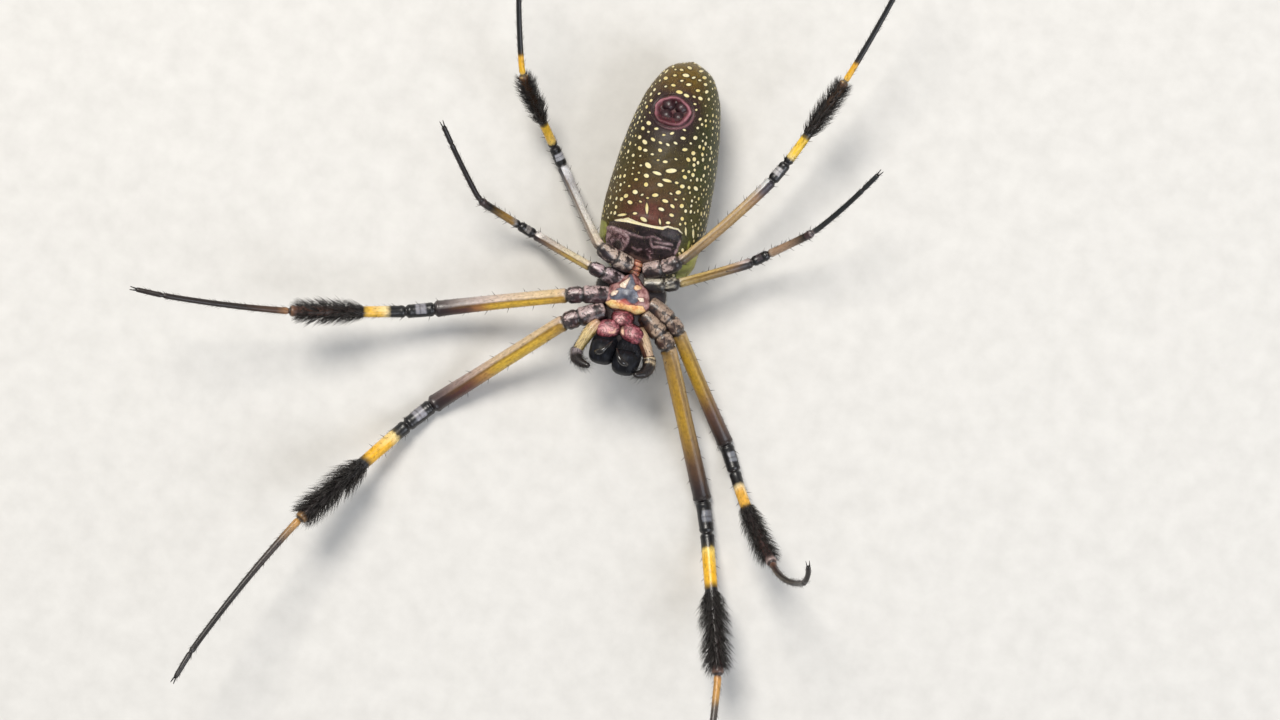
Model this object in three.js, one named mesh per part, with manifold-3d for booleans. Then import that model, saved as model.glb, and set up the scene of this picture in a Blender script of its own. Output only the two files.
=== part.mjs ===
// A female golden silk orb weaver at life size, lying on her back with her legs spread and her feet up.
// Millimetres, +Z up. The tip of her abdomen is towards +Y and her head towards -Y, so her right is at +X.
// The origin is on the small flat of her back that rests on the floor.
import * as THREE from "three";
import { mergeVertices } from "three/addons/utils/BufferGeometryUtils.js";
import Module from "manifold-3d";

const wasm = await Module();
wasm.setup();

// Driving dimensions of the body. Body places are measured from the middle of the breast plate.
const REST_Y = 12; // from the breast plate back to the flat that rests on the floor
const GAP = 0.3; // between neighbouring hard plates and leg joints
const SMALL_GAP = 0.15; // between the smallest pieces
const FLOOR_CUT = 40; // size of the block that cuts the resting flats

const RIM_Z = 6.0; // the plane where the head shield ends and the leg roots begin
const HEAD_ROLL = -6; // degrees: her breast turns to her left, as the belly does
const HEAD_YAW = 4.5;
// Each row along the body: place along Y, half-width, height of the back, height of the belly.
const CARAPACE_ROWS = [
  [3.5, 0, 5.9, 5.9],
  [3.2, 1.4, 5.2, 6.7],
  [2.2, 3.0, 4.4, 7.7],
  [0.6, 3.75, 3.4, 8.7],
  [-1.2, 3.7, 2.9, 9.2],
  [-2.9, 3.0, 2.6, 9.6],
  [-4.4, 2.85, 2.5, 9.8],
  [-5.6, 2.65, 3.1, 9.3],
  [-6.2, 1.7, 4.2, 8.2],
  [-6.4, 0, 5.4, 5.4],
];
const ABDOMEN_ROWS = [
  [2.0, 0, 2.6, 2.6],
  [2.4, 3.2, 1.0, 4.6],
  [4.0, 5.0, 0.35, 7.8],
  [6.2, 5.4, 0.0, 10.1],
  [9.0, 5.58, -0.18, 10.9],
  [12.5, 5.4, -0.22, 11.1],
  [16.0, 5.08, -0.05, 11.0],
  [19.5, 4.5, 0.35, 10.5],
  [22.4, 3.65, 1.1, 9.3],
  [24.6, 2.25, 2.4, 7.7],
  [25.7, 0, 4.9, 4.9],
];
const ABDOMEN_ROLL = -8; // degrees: the belly's middle line turns to her left
const ABDOMEN_YAW = 3.2;
const ABDOMEN_SHIFT = 0.5; // towards her right
// The fold across the front of the belly.
const FURROW = { place: 0.335, reach: 52, width: 0.34, depth: 0.2 };
const PEDICEL = { y: 3.1, z: 6.9, length: 1.7, radius: 0.62 };
const SPINNERET_Y = 19.6; // middle of the spinneret ring along the belly
const SPINNERET_RING = { radius: 1.62, thick: 0.36, wide: 1.14, long: 0.92 };

const STERNUM = { z: 7.5, dome: 1.15, depth: 1.25 };
// Reach of the breast plate from its middle, from its rear point round one side to its front edge.
const STERNUM_REACH = [[2.45], [2.02], [1.95], [2.12], [2.42], [2.72], [2.6], [2.2], [2.0]];
const LABIUM = { y: -2.75, halfWidth: 1.0, halfLength: 0.8, z: 7.9, dome: 0.95, depth: 1.0 };
const MAXILLA = {
  x: 1.3,
  y: -3.95,
  halfWidth: 1.3,
  halfLength: 0.95,
  z: 7.9,
  dome: 0.95,
  depth: 1.2,
  toe: -20,
};
const CHELICERA = {
  x: 1.3,
  rootY: -4.6,
  rootZ: 5.0,
  tipY: -6.6,
  tipZ: 10.2,
  radius: 1.38,
  ahead: 0.3, // her right one reaches forward by this, and her left one back
  square: 0.72, // below 1, a section with fuller corners than an ellipse
};
const FANG = { length: 2.1, radius: 0.3 };
const EYE_RADIUS = 0.3;

// Lengths of a leg's seven segments, by pair from the front.
const SEGMENTS = ["coxa", "trochanter", "femur", "patella", "tibia", "metatarsus", "tarsus"];
const LEG_LENGTHS = {
  1: [3.0, 1.5, 18.3, 3.5, 15.8, 18.1, 3.1],
  2: [2.9, 1.6, 14.8, 3.1, 12.5, 13.4, 2.9],
  3: [2.3, 1.4, 8.7, 2.0, 5.9, 7.6, 2.3],
  4: [2.2, 1.9, 13.1, 2.4, 10.6, 14.2, 3.0],
};
// Radii at the root, middle and end of each segment, by pair.
const LEG_RADII = {
  1: [
    [0.98, 1.04, 0.98],
    [0.92, 0.98, 0.9],
    [0.84, 0.86, 0.97],
    [0.78, 0.8, 0.74],
    [0.74, 0.68, 0.64],
    [0.4, 0.33, 0.3],
    [0.29, 0.28, 0.25],
  ],
  2: [
    [0.9, 0.96, 0.9],
    [0.82, 0.88, 0.82],
    [0.76, 0.78, 0.86],
    [0.72, 0.74, 0.68],
    [0.64, 0.57, 0.56],
    [0.36, 0.31, 0.29],
    [0.28, 0.27, 0.25],
  ],
  3: [
    [0.78, 0.84, 0.78],
    [0.7, 0.74, 0.68],
    [0.5, 0.5, 0.54],
    [0.52, 0.54, 0.5],
    [0.44, 0.4, 0.42],
    [0.3, 0.28, 0.27],
    [0.27, 0.26, 0.25],
  ],
  4: [
    [0.86, 0.94, 0.88],
    [0.82, 0.86, 0.76],
    [0.54, 0.54, 0.6],
    [0.58, 0.6, 0.54],
    [0.5, 0.46, 0.48],
    [0.32, 0.28, 0.27],
    [0.27, 0.26, 0.25],
  ],
};
// Where each leg's root is, then each segment's heading from +X and its rise, in degrees. A third and
// fourth number turn the heading and the rise from the segment's start to its end.
const LEG_POSES = {
  leg_1_right: {
    root: [2.18, -1.49, 7.2],
    turns: [
      [-32, 8], [-44, 0], [-60, -22.6, 0, 16], [-66, 13],
      [-69, 23, 0, 6], [-82, 21, -6, 8], [-88, 12],
    ],
  },
  leg_2_right: {
    root: [2.43, -0.22, 7.2],
    turns: [
      [-21, 7], [-40, 0], [-49.5, -28.5, 2, 16], [-56, 13],
      [-51, 36, 14, 6], [13.6, 75.5, 140, 20], [98.6, 49, 49],
    ],
  },
  leg_3_right: {
    root: [1.31, 1.43, 7.3],
    turns: [
      [14, 6], [28, 4], [33, -19.4, 3, 14], [44, 15],
      [42, 34, 2, 6], [58, 30, 8, 6], [62, 22],
    ],
  },
  leg_4_right: {
    root: [0.94, 2.77, 7.4],
    turns: [
      [27, 17], [35, 20], [58.5, -7, 6, 14], [67, 4],
      [71.5, 12, 2, 6], [78, 18, 6, 8], [82, 10],
    ],
  },
  leg_1_left: {
    root: [-1.62, -2.29, 7.2],
    turns: [
      [-149, 6], [-145, 0], [-131.4, -22.2, 0, 16], [-124, 13],
      [-121, 23, 0, 6], [-111, 21, 8, 8], [-103, 12],
    ],
  },
  leg_2_left: {
    root: [-1.67, -0.62, 7.2],
    turns: [
      [-165, 7], [-158, 0], [-157.5, -15, 2, 14], [-158, 10],
      [-163, 17, -2, 6], [-170, 20, -6, 8], [-176, 12],
    ],
  },
  leg_3_left: {
    root: [-0.81, 1.06, 7.3],
    turns: [
      [170, 7], [174, 4], [166, -37.5, -2, 16], [167, 18],
      [166, 39, 0, 4], [132.5, 35, -4, 4], [130, 30],
    ],
  },
  leg_4_left: {
    root: [-0.45, 2.94, 7.6],
    turns: [
      [171, 27], [163, 31], [131.4, -42.3, -4, 14], [131, 22],
      [131, 45, -2, 4], [107, 25, -8, 6], [103, 12],
    ],
  },
};
const BEND = 1.1; // half-length of leg over which each joint's bend is spread
const PATH_STEP = 0.1;

// The brush of bristles on a shin: the stretch of the tibia it covers, its rows of locks and their length.
// Its dense middle is a swelling of the shin, by a share of that length.
const BRUSHES = {
  1: { from: 0.41, to: 0.95, rows: 5, around: 6, length: 2.05 },
  2: { from: 0.36, to: 0.93, rows: 4, around: 5, length: 1.7 },
  4: { from: 0.35, to: 0.95, rows: 4, around: 5, length: 1.5 },
};
const BRUSH_CORE = 0.2;

// Colours, from the animal's own.
const COLOURS = {
  shield: 0x8a8374,
  belly: 0x4b4420,
  plate: 0xb06a3c,
  mouth: 0x8f3a3a,
  black: 0x121114,
  limb: 0x9a7420,
  root: 0x5b3d3a,
  pale: 0xc9a53c,
};

const radians = THREE.MathUtils.degToRad;
let seed = 7;
function random() {
  seed = (seed * 16807) % 2147483647;
  return seed / 2147483647;
}
const vary = (share) => 1 + share * (2 * random() - 1);

// A closed geometry as a solid, with its faces pointing out.
function solid(geometry) {
  const bare = geometry.clone();
  bare.deleteAttribute("normal");
  bare.deleteAttribute("uv");
  const merged = mergeVertices(bare, 1e-5);
  const faces = [];
  for (let i = 0; i < merged.index.count; i += 3) {
    const [a, b, c] = [0, 1, 2].map((k) => merged.index.getX(i + k));
    if (a !== b && b !== c && a !== c) faces.push(a, b, c);
  }
  const made = (triVerts) =>
    new wasm.Manifold(
      new wasm.Mesh({ numProp: 3, vertProperties: merged.attributes.position.array, triVerts }),
    );
  const body = made(new Uint32Array(faces));
  return body.volume() > 0 ? body : made(new Uint32Array(faces.reverse()));
}

// The largest closed body of a solid, as a geometry.
function geometryOf(body) {
  const largest = body.decompose().sort((a, b) => b.volume() - a.volume())[0];
  const mesh = largest.getMesh();
  const geometry = new THREE.BufferGeometry();
  geometry.setAttribute("position", new THREE.BufferAttribute(new Float32Array(mesh.vertProperties), 3));
  geometry.setIndex(new THREE.BufferAttribute(new Uint32Array(mesh.triVerts), 1));
  geometry.computeVertexNormals();
  return geometry;
}

// A lathed unit tube along Y whose vertices place(along, angle, radial) moves. Its ends are flat, or
// pointed: "none", "far" or "both".
function moulded(sides, rings, place, pointed = "none") {
  const profile = [new THREE.Vector2(0, 0)];
  const first = pointed === "both" ? 1 : 0;
  const last = pointed === "none" ? rings : rings - 1;
  for (let i = first; i <= last; i++) profile.push(new THREE.Vector2(1, i / rings));
  profile.push(new THREE.Vector2(0, 1));
  const geometry = new THREE.LatheGeometry(profile, sides);
  const position = geometry.attributes.position;
  for (let i = 0; i < position.count; i++) {
    const [x, y, z] = [position.getX(i), position.getY(i), position.getZ(i)];
    const step = Math.round((Math.atan2(x, z) / (2 * Math.PI)) * sides + sides) % sides;
    const p = place(y, (step * 2 * Math.PI) / sides, Math.hypot(x, z));
    position.setXYZ(i, p.x, p.y, p.z);
  }
  return solid(geometry);
}

// A smooth table: at(u) interpolates the rows, with u running from 0 to 1 over them.
function table(rows) {
  const size = rows[0].length;
  const places = rows.map((_, i) => i / (rows.length - 1));
  const interpolant = new THREE.CubicInterpolant(places, rows.flat(), size, new Float32Array(size));
  return (u) => Array.from(interpolant.evaluate(u));
}

// A body part lofted along Y through rows of place, half-width, back and belly.
function loftPoint(rows, grow, u, angle, radial = 1) {
  const [y, halfWidth, low, high] = table(rows)(u);
  const outward = Math.sign(rows.at(-1)[0] - rows[0][0]) * (2 * u - 1);
  const wide = Math.max(halfWidth, 0) * radial + (radial ? grow : 0);
  const tall = Math.max((high - low) / 2, 0) * radial + (radial ? grow : 0);
  return new THREE.Vector3(
    wide * Math.cos(angle),
    y + grow * outward,
    (low + high) / 2 + tall * Math.sin(angle),
  );
}
function loft(rows, sides, rings, grow = 0) {
  return moulded(sides, rings, (u, angle, radial) => loftPoint(rows, grow, u, angle, radial), "both");
}

// A domed plate: radius(angle) is its outline, and it rises by dome over z and reaches depth below it.
function domed({ x, y, z, dome, depth, radius, turn = 0, sides = 20, rings = 8, grow = 0 }) {
  const place = (u, angle, radial) => {
    const tilt = Math.PI * (u - 0.5);
    const reach = (radius(angle) + grow) * Math.max(Math.cos(tilt), 0) ** 0.6 * radial;
    const height = Math.sin(tilt) * ((tilt > 0 ? dome : depth) + grow);
    return new THREE.Vector3(
      x + reach * Math.cos(angle + turn),
      y + reach * Math.sin(angle + turn),
      z + height,
    );
  };
  return moulded(sides, rings, place, "both");
}

// A tube through a path: at(s) gives its centre, side and up vectors, and radius(s) its two half-sizes.
// A square below 1 fills out the corners of its section.
function tube(at, radius, sides, rings, pointed = "none", square = 1) {
  const full = (share) => Math.sign(share) * Math.abs(share) ** square;
  return moulded(
    sides,
    rings,
    (s, angle, radial) => {
      const { centre, side, up } = at(s);
      const [wide, tall] = radius(s);
      return centre
        .clone()
        .addScaledVector(side, wide * full(Math.cos(angle)) * radial)
        .addScaledVector(up, tall * full(Math.sin(angle)) * radial);
    },
    pointed,
  );
}

// The frame of a tube at place u of a curve, lying flat along the vector across.
function flatFrame(curve, across, u) {
  const along = curve.getTangent(u);
  return { centre: curve.getPoint(u), side: across, up: new THREE.Vector3().crossVectors(across, along) };
}

// A smooth path through points, with a frame whose up vector leans to `upward`.
function pathThrough(points, upward = new THREE.Vector3(0, 0, 1)) {
  const curve = new THREE.CatmullRomCurve3(points.map((p) => new THREE.Vector3(...p)));
  return (s) => {
    const forward = curve.getTangent(s);
    const side = new THREE.Vector3().crossVectors(forward, upward).normalize();
    return { centre: curve.getPoint(s), side, up: new THREE.Vector3().crossVectors(side, forward) };
  };
}

function clear(body, ...others) {
  return others.reduce((left, other) => left.subtract(other), body);
}

const floorBlock = solid(
  new THREE.BoxGeometry(8 * FLOOR_CUT, 8 * FLOOR_CUT, FLOOR_CUT).translate(0, 0, -FLOOR_CUT / 2),
);
const bellySide = solid(
  new THREE.BoxGeometry(FLOOR_CUT, FLOOR_CUT, FLOOR_CUT).translate(0, 0, RIM_Z + FLOOR_CUT / 2),
);
const midSlab = (gap) => solid(new THREE.BoxGeometry(gap, FLOOR_CUT, FLOOR_CUT));

// Head shield, breast plate and mouth.
function carapace(grow = 0) {
  const whole = loft(CARAPACE_ROWS, 22, 14, grow);
  return clear(whole, grow ? bellySide.translate([0, 0, grow]) : bellySide);
}

function sternum(grow = 0) {
  // A shield drawn out to a point behind, with a shallow notch for each leg root.
  const reach = table(STERNUM_REACH);
  const radius = (angle) => {
    const fromRear = Math.acos(Math.min(Math.max(Math.sin(angle), -1), 1)) / Math.PI;
    return reach(fromRear)[0] - 0.05 * (1 + Math.cos(8 * angle));
  };
  return domed({ x: 0, y: 0, ...STERNUM, radius, sides: 24, rings: 6, grow });
}

function labium(grow = 0) {
  const { halfWidth, halfLength } = LABIUM;
  const radius = (angle) => Math.hypot(halfWidth * Math.cos(angle), halfLength * Math.sin(angle));
  return domed({ x: 0, ...LABIUM, radius, sides: 12, rings: 5, grow });
}

function maxilla(side, grow = 0) {
  const radius = (angle) =>
    1 / Math.hypot(Math.cos(angle) / MAXILLA.halfWidth, Math.sin(angle) / MAXILLA.halfLength);
  return domed({
    ...MAXILLA,
    x: side * MAXILLA.x,
    turn: side * radians(MAXILLA.toe),
    radius,
    sides: 14,
    rings: 6,
    grow,
  });
}

function chelicera(side, grow = 0) {
  const { x, rootY, rootZ, tipZ, radius, square } = CHELICERA;
  const tipY = CHELICERA.tipY - side * CHELICERA.ahead;
  const path = pathThrough(
    [
      [side * x * 0.95, rootY, rootZ],
      [side * x, rootY - 0.75, rootZ + 1.8],
      [side * x, tipY - 0.1, tipZ - 1.8],
      [side * x * 0.98, tipY + 0.15, tipZ],
    ],
    new THREE.Vector3(0, -1, 0),
  );
  const swell = table([[0], [0.82], [0.98], [1.04], [1.02], [0.92], [0]]);
  const size = (s) => swell(s)[0] * radius + grow;
  return tube(path, (s) => [size(s), size(s) * 1.02], 16, 8, "both", square);
}

function fang(side) {
  const { x, tipZ } = CHELICERA;
  const tipY = CHELICERA.tipY - side * CHELICERA.ahead;
  const path = pathThrough([
    [side * (x + 0.55), tipY - 0.35, tipZ + 0.12],
    [side * (x - 0.1), tipY - 0.15, tipZ + 0.62],
    [side * (x + 0.4 - FANG.length / 2), tipY + 0.45, tipZ + 0.55],
    [side * 0.28, tipY + 1.15, tipZ - 0.05],
  ]);
  const thin = table([[0.2], [1], [0.95], [0.75], [0.5], [0.2]]);
  return tube(path, (s) => [FANG.radius * thin(s)[0], FANG.radius * thin(s)[0]], 7, 6);
}

const EYES = {
  // Name: place along the head shield, angle round it, both as the loft takes them.
  eye_front_middle: { u: 0.975, angle: -62 },
  eye_rear_middle: { u: 0.93, angle: -73 },
  eye_front_side: { u: 0.935, angle: -24 },
  eye_rear_side: { u: 0.895, angle: -33 },
};

function eye({ u, angle }, side, shield) {
  const turned = radians(side > 0 ? angle : -180 - angle);
  const at = loftPoint(CARAPACE_ROWS, 0.02, u, turned);
  return clear(solid(new THREE.SphereGeometry(EYE_RADIUS, 8, 6).translate(at.x, at.y, at.z)), shield);
}

const PALP = {
  right: {
    femur: [[2.1, -3.1, 7.9], [2.8, -3.9, 8.0], [3.5, -4.8, 8.0], [4.05, -5.6, 7.9]],
    tarsus: [[4.25, -5.95, 7.95], [4.4, -6.75, 8.3], [4.05, -7.5, 8.9], [3.1, -7.95, 9.6]],
  },
  left: {
    femur: [[-1.9, -3.5, 7.9], [-2.45, -4.5, 8.0], [-2.9, -5.8, 8.0], [-3.22, -6.95, 7.8]],
    tarsus: [[-3.28, -7.3, 7.85], [-3.15, -7.95, 8.3], [-2.5, -8.3, 8.9], [-1.5, -8.4, 9.5]],
  },
};
const PALP_RADII = {
  femur: [[0.46], [0.54], [0.54], [0.48]],
  tarsus: [[0.46], [0.54], [0.5], [0.46], [0.3]],
};

// Legs: one smooth centreline from root to claw, from which each node takes its stretch.
function centreline(pair, { root, turns }) {
  const lengths = LEG_LENGTHS[pair];
  const total = lengths.reduce((a, b) => a + b, 0);
  const ends = lengths.map((_, i) => lengths.slice(0, i + 1).reduce((a, b) => a + b, 0));
  const direction = (s) => {
    const at = Math.min(Math.max(s, 0), total - 1e-6);
    const i = ends.findIndex((end) => at < end);
    const share = (at - (ends[i] - lengths[i])) / lengths[i] - 0.5;
    const [heading, rise, headingTurn = 0, riseTurn = 0] = turns[i];
    const h = radians(heading + share * headingTurn);
    const r = radians(rise + share * riseTurn);
    return new THREE.Vector3(Math.cos(r) * Math.cos(h), Math.cos(r) * Math.sin(h), Math.sin(r));
  };
  const smooth = (s) => {
    const sum = new THREE.Vector3();
    for (let d = -BEND; d <= BEND + 1e-9; d += BEND / 8) sum.add(direction(s + d));
    return sum.normalize();
  };
  const steps = Math.ceil(total / PATH_STEP);
  const points = [new THREE.Vector3(...root)];
  for (let i = 0; i < steps; i++) {
    const middle = smooth((i + 0.5) * PATH_STEP);
    points.push(points[i].clone().addScaledVector(middle, PATH_STEP));
  }
  const at = (s) => {
    const i = Math.min(Math.max(Math.floor(s / PATH_STEP), 0), steps - 1);
    const centre = points[i].clone().lerp(points[i + 1], s / PATH_STEP - i);
    const forward = smooth(s);
    const side = new THREE.Vector3(forward.y, -forward.x, 0).normalize();
    return { centre, forward, side, up: new THREE.Vector3().crossVectors(side, forward) };
  };
  return { at, ends, total };
}

// Radius along the leg: three sizes a segment, drawn in by a groove at each joint.
function legRadius(pair, ends, s) {
  const i = Math.min(ends.findIndex((end) => s < end + 1e-9), 6);
  const start = i ? ends[i - 1] : 0;
  const length = ends[i] - start;
  const share = (s - start) / length;
  const [a, b, c] = LEG_RADII[pair][i];
  const size = share < 0.5 ? a + (b - a) * share * 2 : b + (c - b) * (share * 2 - 1);
  const nearest = Math.min(i ? s - start : 9, ends[i] - s);
  return size * (1 - 0.2 * Math.max(0, 1 - nearest / 0.35)) + coreOfBrush(pair, i, share);
}

function coreOfBrush(pair, segment, share) {
  if (!BRUSHES[pair] || SEGMENTS[segment] !== "tibia") return 0;
  const { from, to, length } = BRUSHES[pair];
  const u = (share - from) / (to - from);
  return u > 0 && u < 1 ? BRUSH_CORE * length * Math.min(1, 6 * u, 3 * (1 - u)) : 0;
}

// One node of a leg: a tube over the segments first to last, its flat ends half a gap from its joints.
function legNode(pair, line, first, last, sides, rings, grow = 0) {
  const from = (first ? line.ends[first - 1] : 0) + (first ? GAP / 2 : 0);
  const to = line.ends[last] - (last < 6 ? GAP / 2 : 0);
  const place = (u) => from + (to - from) * u;
  const size = (u) => legRadius(pair, line.ends, place(u)) + grow;
  return tube((u) => line.at(place(u)), (u) => [size(u), size(u)], sides, rings);
}

// One flat, tapered lock that leaves the shin at a slant and bends over along it.
function lock(line, s, angle, radius, length) {
  const { centre, forward, side, up } = line.at(s);
  const out = side.clone().multiplyScalar(Math.cos(angle)).addScaledVector(up, Math.sin(angle));
  const across = new THREE.Vector3().crossVectors(forward, out);
  const root = centre.clone().addScaledVector(out, radius - 0.25);
  const middle = root.clone().addScaledVector(out, 0.3 * length).addScaledVector(forward, 0.34 * length);
  const tip = middle.clone().addScaledVector(out, 0.13 * length).addScaledVector(forward, 0.46 * length);
  const curve = new THREE.QuadraticBezierCurve3(root, middle, tip);
  const width = table([[0.36], [0.5], [0]]);
  const thick = table([[0.26], [0.24], [0]]);
  return tube((u) => flatFrame(curve, across, u), (u) => [width(u)[0], thick(u)[0]], 4, 2, "far");
}

function brush(pair, line) {
  const { from, to, rows, around, length } = BRUSHES[pair];
  const start = line.ends[3];
  const span = line.ends[4] - start;
  const locks = [];
  for (let row = 0; row < rows; row++) {
    const s = start + span * (from + ((to - from) * row) / rows);
    for (let k = 0; k < around; k++) {
      const angle = ((k + 0.5 * (row % 2) + 0.1 * (random() - 0.5)) * 2 * Math.PI) / around;
      const taper = row === rows - 1 ? 0.75 : 1;
      locks.push(lock(line, s, angle, legRadius(pair, line.ends, s), length * taper * vary(0.1)));
    }
  }
  return locks;
}

// Two hooked claws at the end of a foot.
function claws(line) {
  const { centre, forward, side, up } = line.at(line.total - 0.25);
  return [-1, 1].map((half) => {
    const reach = (a, b, c) =>
      centre.clone().addScaledVector(forward, a).addScaledVector(side, half * b).addScaledVector(up, c);
    const places = [reach(0, 0.05, 0), reach(0.75, 0.16, 0.18), reach(0.8, 0.2, -0.4)];
    const curve = new THREE.QuadraticBezierCurve3(...places);
    const size = (u) => 0.15 - 0.05 * u;
    return tube((u) => flatFrame(curve, side, u), (u) => [size(u), size(u)], 4, 3, "far");
  });
}

const nodes = {};
const finish = (name, body, colour) => {
  nodes[name] = { body: body.subtract(floorBlock), colour };
};

// Turned about the waist: first rolled about the body's axis, then yawed.
const [X, Y, Z] = [0, 1, 2].map((i) => new THREE.Vector3().setComponent(i, 1));
const shift = (x, y, z) => new THREE.Matrix4().makeTranslation(x, y, z);
const turn = (axis, degrees) => new THREE.Matrix4().makeRotationAxis(axis, radians(degrees));
const placed = (body, ...moves) => moves.reduce((made, move) => made.transform(move.elements), body);
function aboutWaist(roll, yaw) {
  const { y, z } = PEDICEL;
  return shift(0, y, z).multiply(turn(Z, yaw)).multiply(turn(Y, roll)).multiply(shift(0, -y, -z));
}
const headPose = aboutWaist(HEAD_ROLL, HEAD_YAW);
const abdomenPose = shift(ABDOMEN_SHIFT, 0, 0).multiply(aboutWaist(ABDOMEN_ROLL, ABDOMEN_YAW));
const inHead = (body) => placed(body, headPose);

// Fixed plates first: each later piece is cut back from a slightly larger copy of those it meets.
const shieldClear = carapace(GAP);
const breastClear = sternum(GAP);
const lipClear = labium(GAP);
const centreGap = midSlab(GAP);
finish("carapace", inHead(carapace()), COLOURS.shield);
finish("sternum", inHead(clear(sternum(), shieldClear)), COLOURS.plate);
finish("labium", inHead(clear(labium(), breastClear, shieldClear)), COLOURS.mouth);
const core = wasm.Manifold.union([shieldClear, breastClear]);
const headCore = inHead(core);

const pedicel = (grow = 0) => {
  const { y, z, length, radius } = PEDICEL;
  const swell = table([[0.75], [1], [0.82], [1.05]]);
  const path = pathThrough([[0, y - length / 2, z], [0, y, z], [0.06, y + length / 2, z]]);
  return tube(path, (s) => [swell(s)[0] * radius + grow, swell(s)[0] * radius + grow], 10, 5);
};
const waistClear = pedicel(GAP);
finish("pedicel", clear(pedicel(), headCore), COLOURS.plate);

const legs = {};
for (const [name, pose] of Object.entries(LEG_POSES)) {
  const pair = Number(name.split("_")[1]);
  const line = centreline(pair, pose);
  const rootClear = legNode(pair, line, 0, 1, 10, 6, GAP);
  const nearer = Object.values(legs).map((leg) => leg.rootClear);
  const root = clear(legNode(pair, line, 0, 1, 10, 6), headCore, waistClear, ...nearer);
  finish(name + "_coxa", root, COLOURS.root);
  legs[name] = { pair, line, rootClear };
}

for (const [side, sign] of [["left", -1], ["right", 1]]) {
  const rootClear = placed(legs[`leg_1_${side}`].rootClear, headPose.clone().invert());
  const jaw = clear(maxilla(sign), lipClear, core, centreGap, rootClear);
  finish(`maxilla_${side}`, inHead(jaw), COLOURS.mouth);
  const jawClear = [maxilla(1, GAP), maxilla(-1, GAP), lipClear];
  const base = clear(chelicera(sign), core, centreGap, rootClear, ...jawClear);
  finish(`chelicera_${side}`, inHead(base), COLOURS.black);
  const hook = clear(fang(sign), chelicera(1, SMALL_GAP), chelicera(-1, SMALL_GAP), ...jawClear);
  finish(`fang_${side}`, inHead(hook), COLOURS.black);
  const palpClear = wasm.Manifold.union([maxilla(sign, GAP), chelicera(sign, GAP), core, rootClear]);
  for (const [piece, points] of Object.entries(PALP[side])) {
    const size = table(PALP_RADII[piece]);
    const body = tube(pathThrough(points), (s) => [size(s)[0], size(s)[0]], 9, 6);
    const colour = piece === "femur" ? COLOURS.pale : COLOURS.black;
    finish(`palp_${side}_${piece}`, clear(body, inHead(palpClear)), colour);
  }
  const eyeClear = carapace(SMALL_GAP);
  for (const [name, place] of Object.entries(EYES)) {
    finish(`${name}_${side}`, inHead(eye(place, sign, eyeClear)), COLOURS.black);
  }
}

// The abdomen, with the fold across its belly and the ring of folds round the spinnerets.
function furrow() {
  const { place, reach, width, depth } = FURROW;
  const points = [-1, -0.6, -0.2, 0.2, 0.6, 1].map((share) => {
    const angle = radians(90 + reach * share);
    const at = loftPoint(ABDOMEN_ROWS, width - depth, place - 0.035 * share * share, angle);
    return at.toArray();
  });
  const deep = (s) => width * Math.sin(Math.PI * (0.06 + 0.88 * s)) ** 0.5;
  return tube(pathThrough(points), (s) => [width * 0.9, deep(s)], 5, 9);
}
const bellyZ = table(ABDOMEN_ROWS)(0.7)[3];
const ringAt = shift(0, SPINNERET_Y, bellyZ - 0.32).multiply(turn(X, -8));
const { wide, long } = SPINNERET_RING;
const ring = solid(
  new THREE.TorusGeometry(SPINNERET_RING.radius, SPINNERET_RING.thick, 6, 16).scale(wide, long, 1),
);
const pit = solid(
  new THREE.SphereGeometry(SPINNERET_RING.radius - 0.1, 12, 5).scale(wide, long, 0.42),
);
const belly = loft(ABDOMEN_ROWS, 24, 17)
  .subtract(furrow())
  .add(placed(ring, ringAt))
  .subtract(placed(pit, ringAt));
const hindLegs = [legs.leg_4_left, legs.leg_4_right];
const hindClear = hindLegs.flatMap((leg) => [leg.rootClear, legNode(leg.pair, leg.line, 2, 2, 9, 7, GAP)]);
const abdomen = clear(placed(belly, abdomenPose), headCore, waistClear, ...hindClear);
finish("abdomen", abdomen, COLOURS.belly);

function spinneret(x, y, radius, height) {
  const points = [[x, y, -0.2], [x * 0.95, y * 0.95, height / 2], [x * 0.75, y * 0.8, height]];
  const path = pathThrough(points, Y);
  const size = table([[0.9], [1], [0.92], [0.45]]);
  return tube(path, (s) => [radius * size(s)[0], radius * size(s)[0]], 8, 3);
}
for (const [side, sign] of [["left", -1], ["right", 1]]) {
  for (const [name, y, radius, height] of [["front", -0.6, 0.52, 0.5], ["rear", 0.58, 0.48, 0.42]]) {
    const cone = spinneret(sign * 0.66, y, radius, height);
    const body = placed(cone, shift(0, 0, -0.32), ringAt, abdomenPose);
    finish(`spinneret_${name}_${side}`, clear(body, abdomen.translate([0, 0, SMALL_GAP])), COLOURS.mouth);
  }
}

// Legs beyond their roots.
for (const [name, { pair, line }] of Object.entries(legs)) {
  finish(name + "_femur", legNode(pair, line, 2, 2, 9, 7), COLOURS.limb);
  const shin = legNode(pair, line, 3, 4, 9, 12);
  const brushed = BRUSHES[pair] ? wasm.Manifold.union([shin, ...brush(pair, line)]) : shin;
  finish(name + "_tibia", brushed, pair === 3 ? COLOURS.limb : COLOURS.black);
  const foot = legNode(pair, line, 5, 6, 6, name === "leg_2_right" ? 13 : 8);
  finish(name + "_metatarsus", wasm.Manifold.union([foot, ...claws(line)]), COLOURS.black);
}

const spider = new THREE.Group();
for (const [name, { body, colour }] of Object.entries(nodes)) {
  const material = new THREE.MeshStandardMaterial({ color: colour, roughness: 0.4, metalness: 0 });
  const mesh = new THREE.Mesh(geometryOf(body), material);
  mesh.name = name;
  spider.add(mesh);
}
spider.position.set(0, -REST_Y, 0);

const model = new THREE.Group();
model.add(spider);
export default model;
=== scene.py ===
import math

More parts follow.
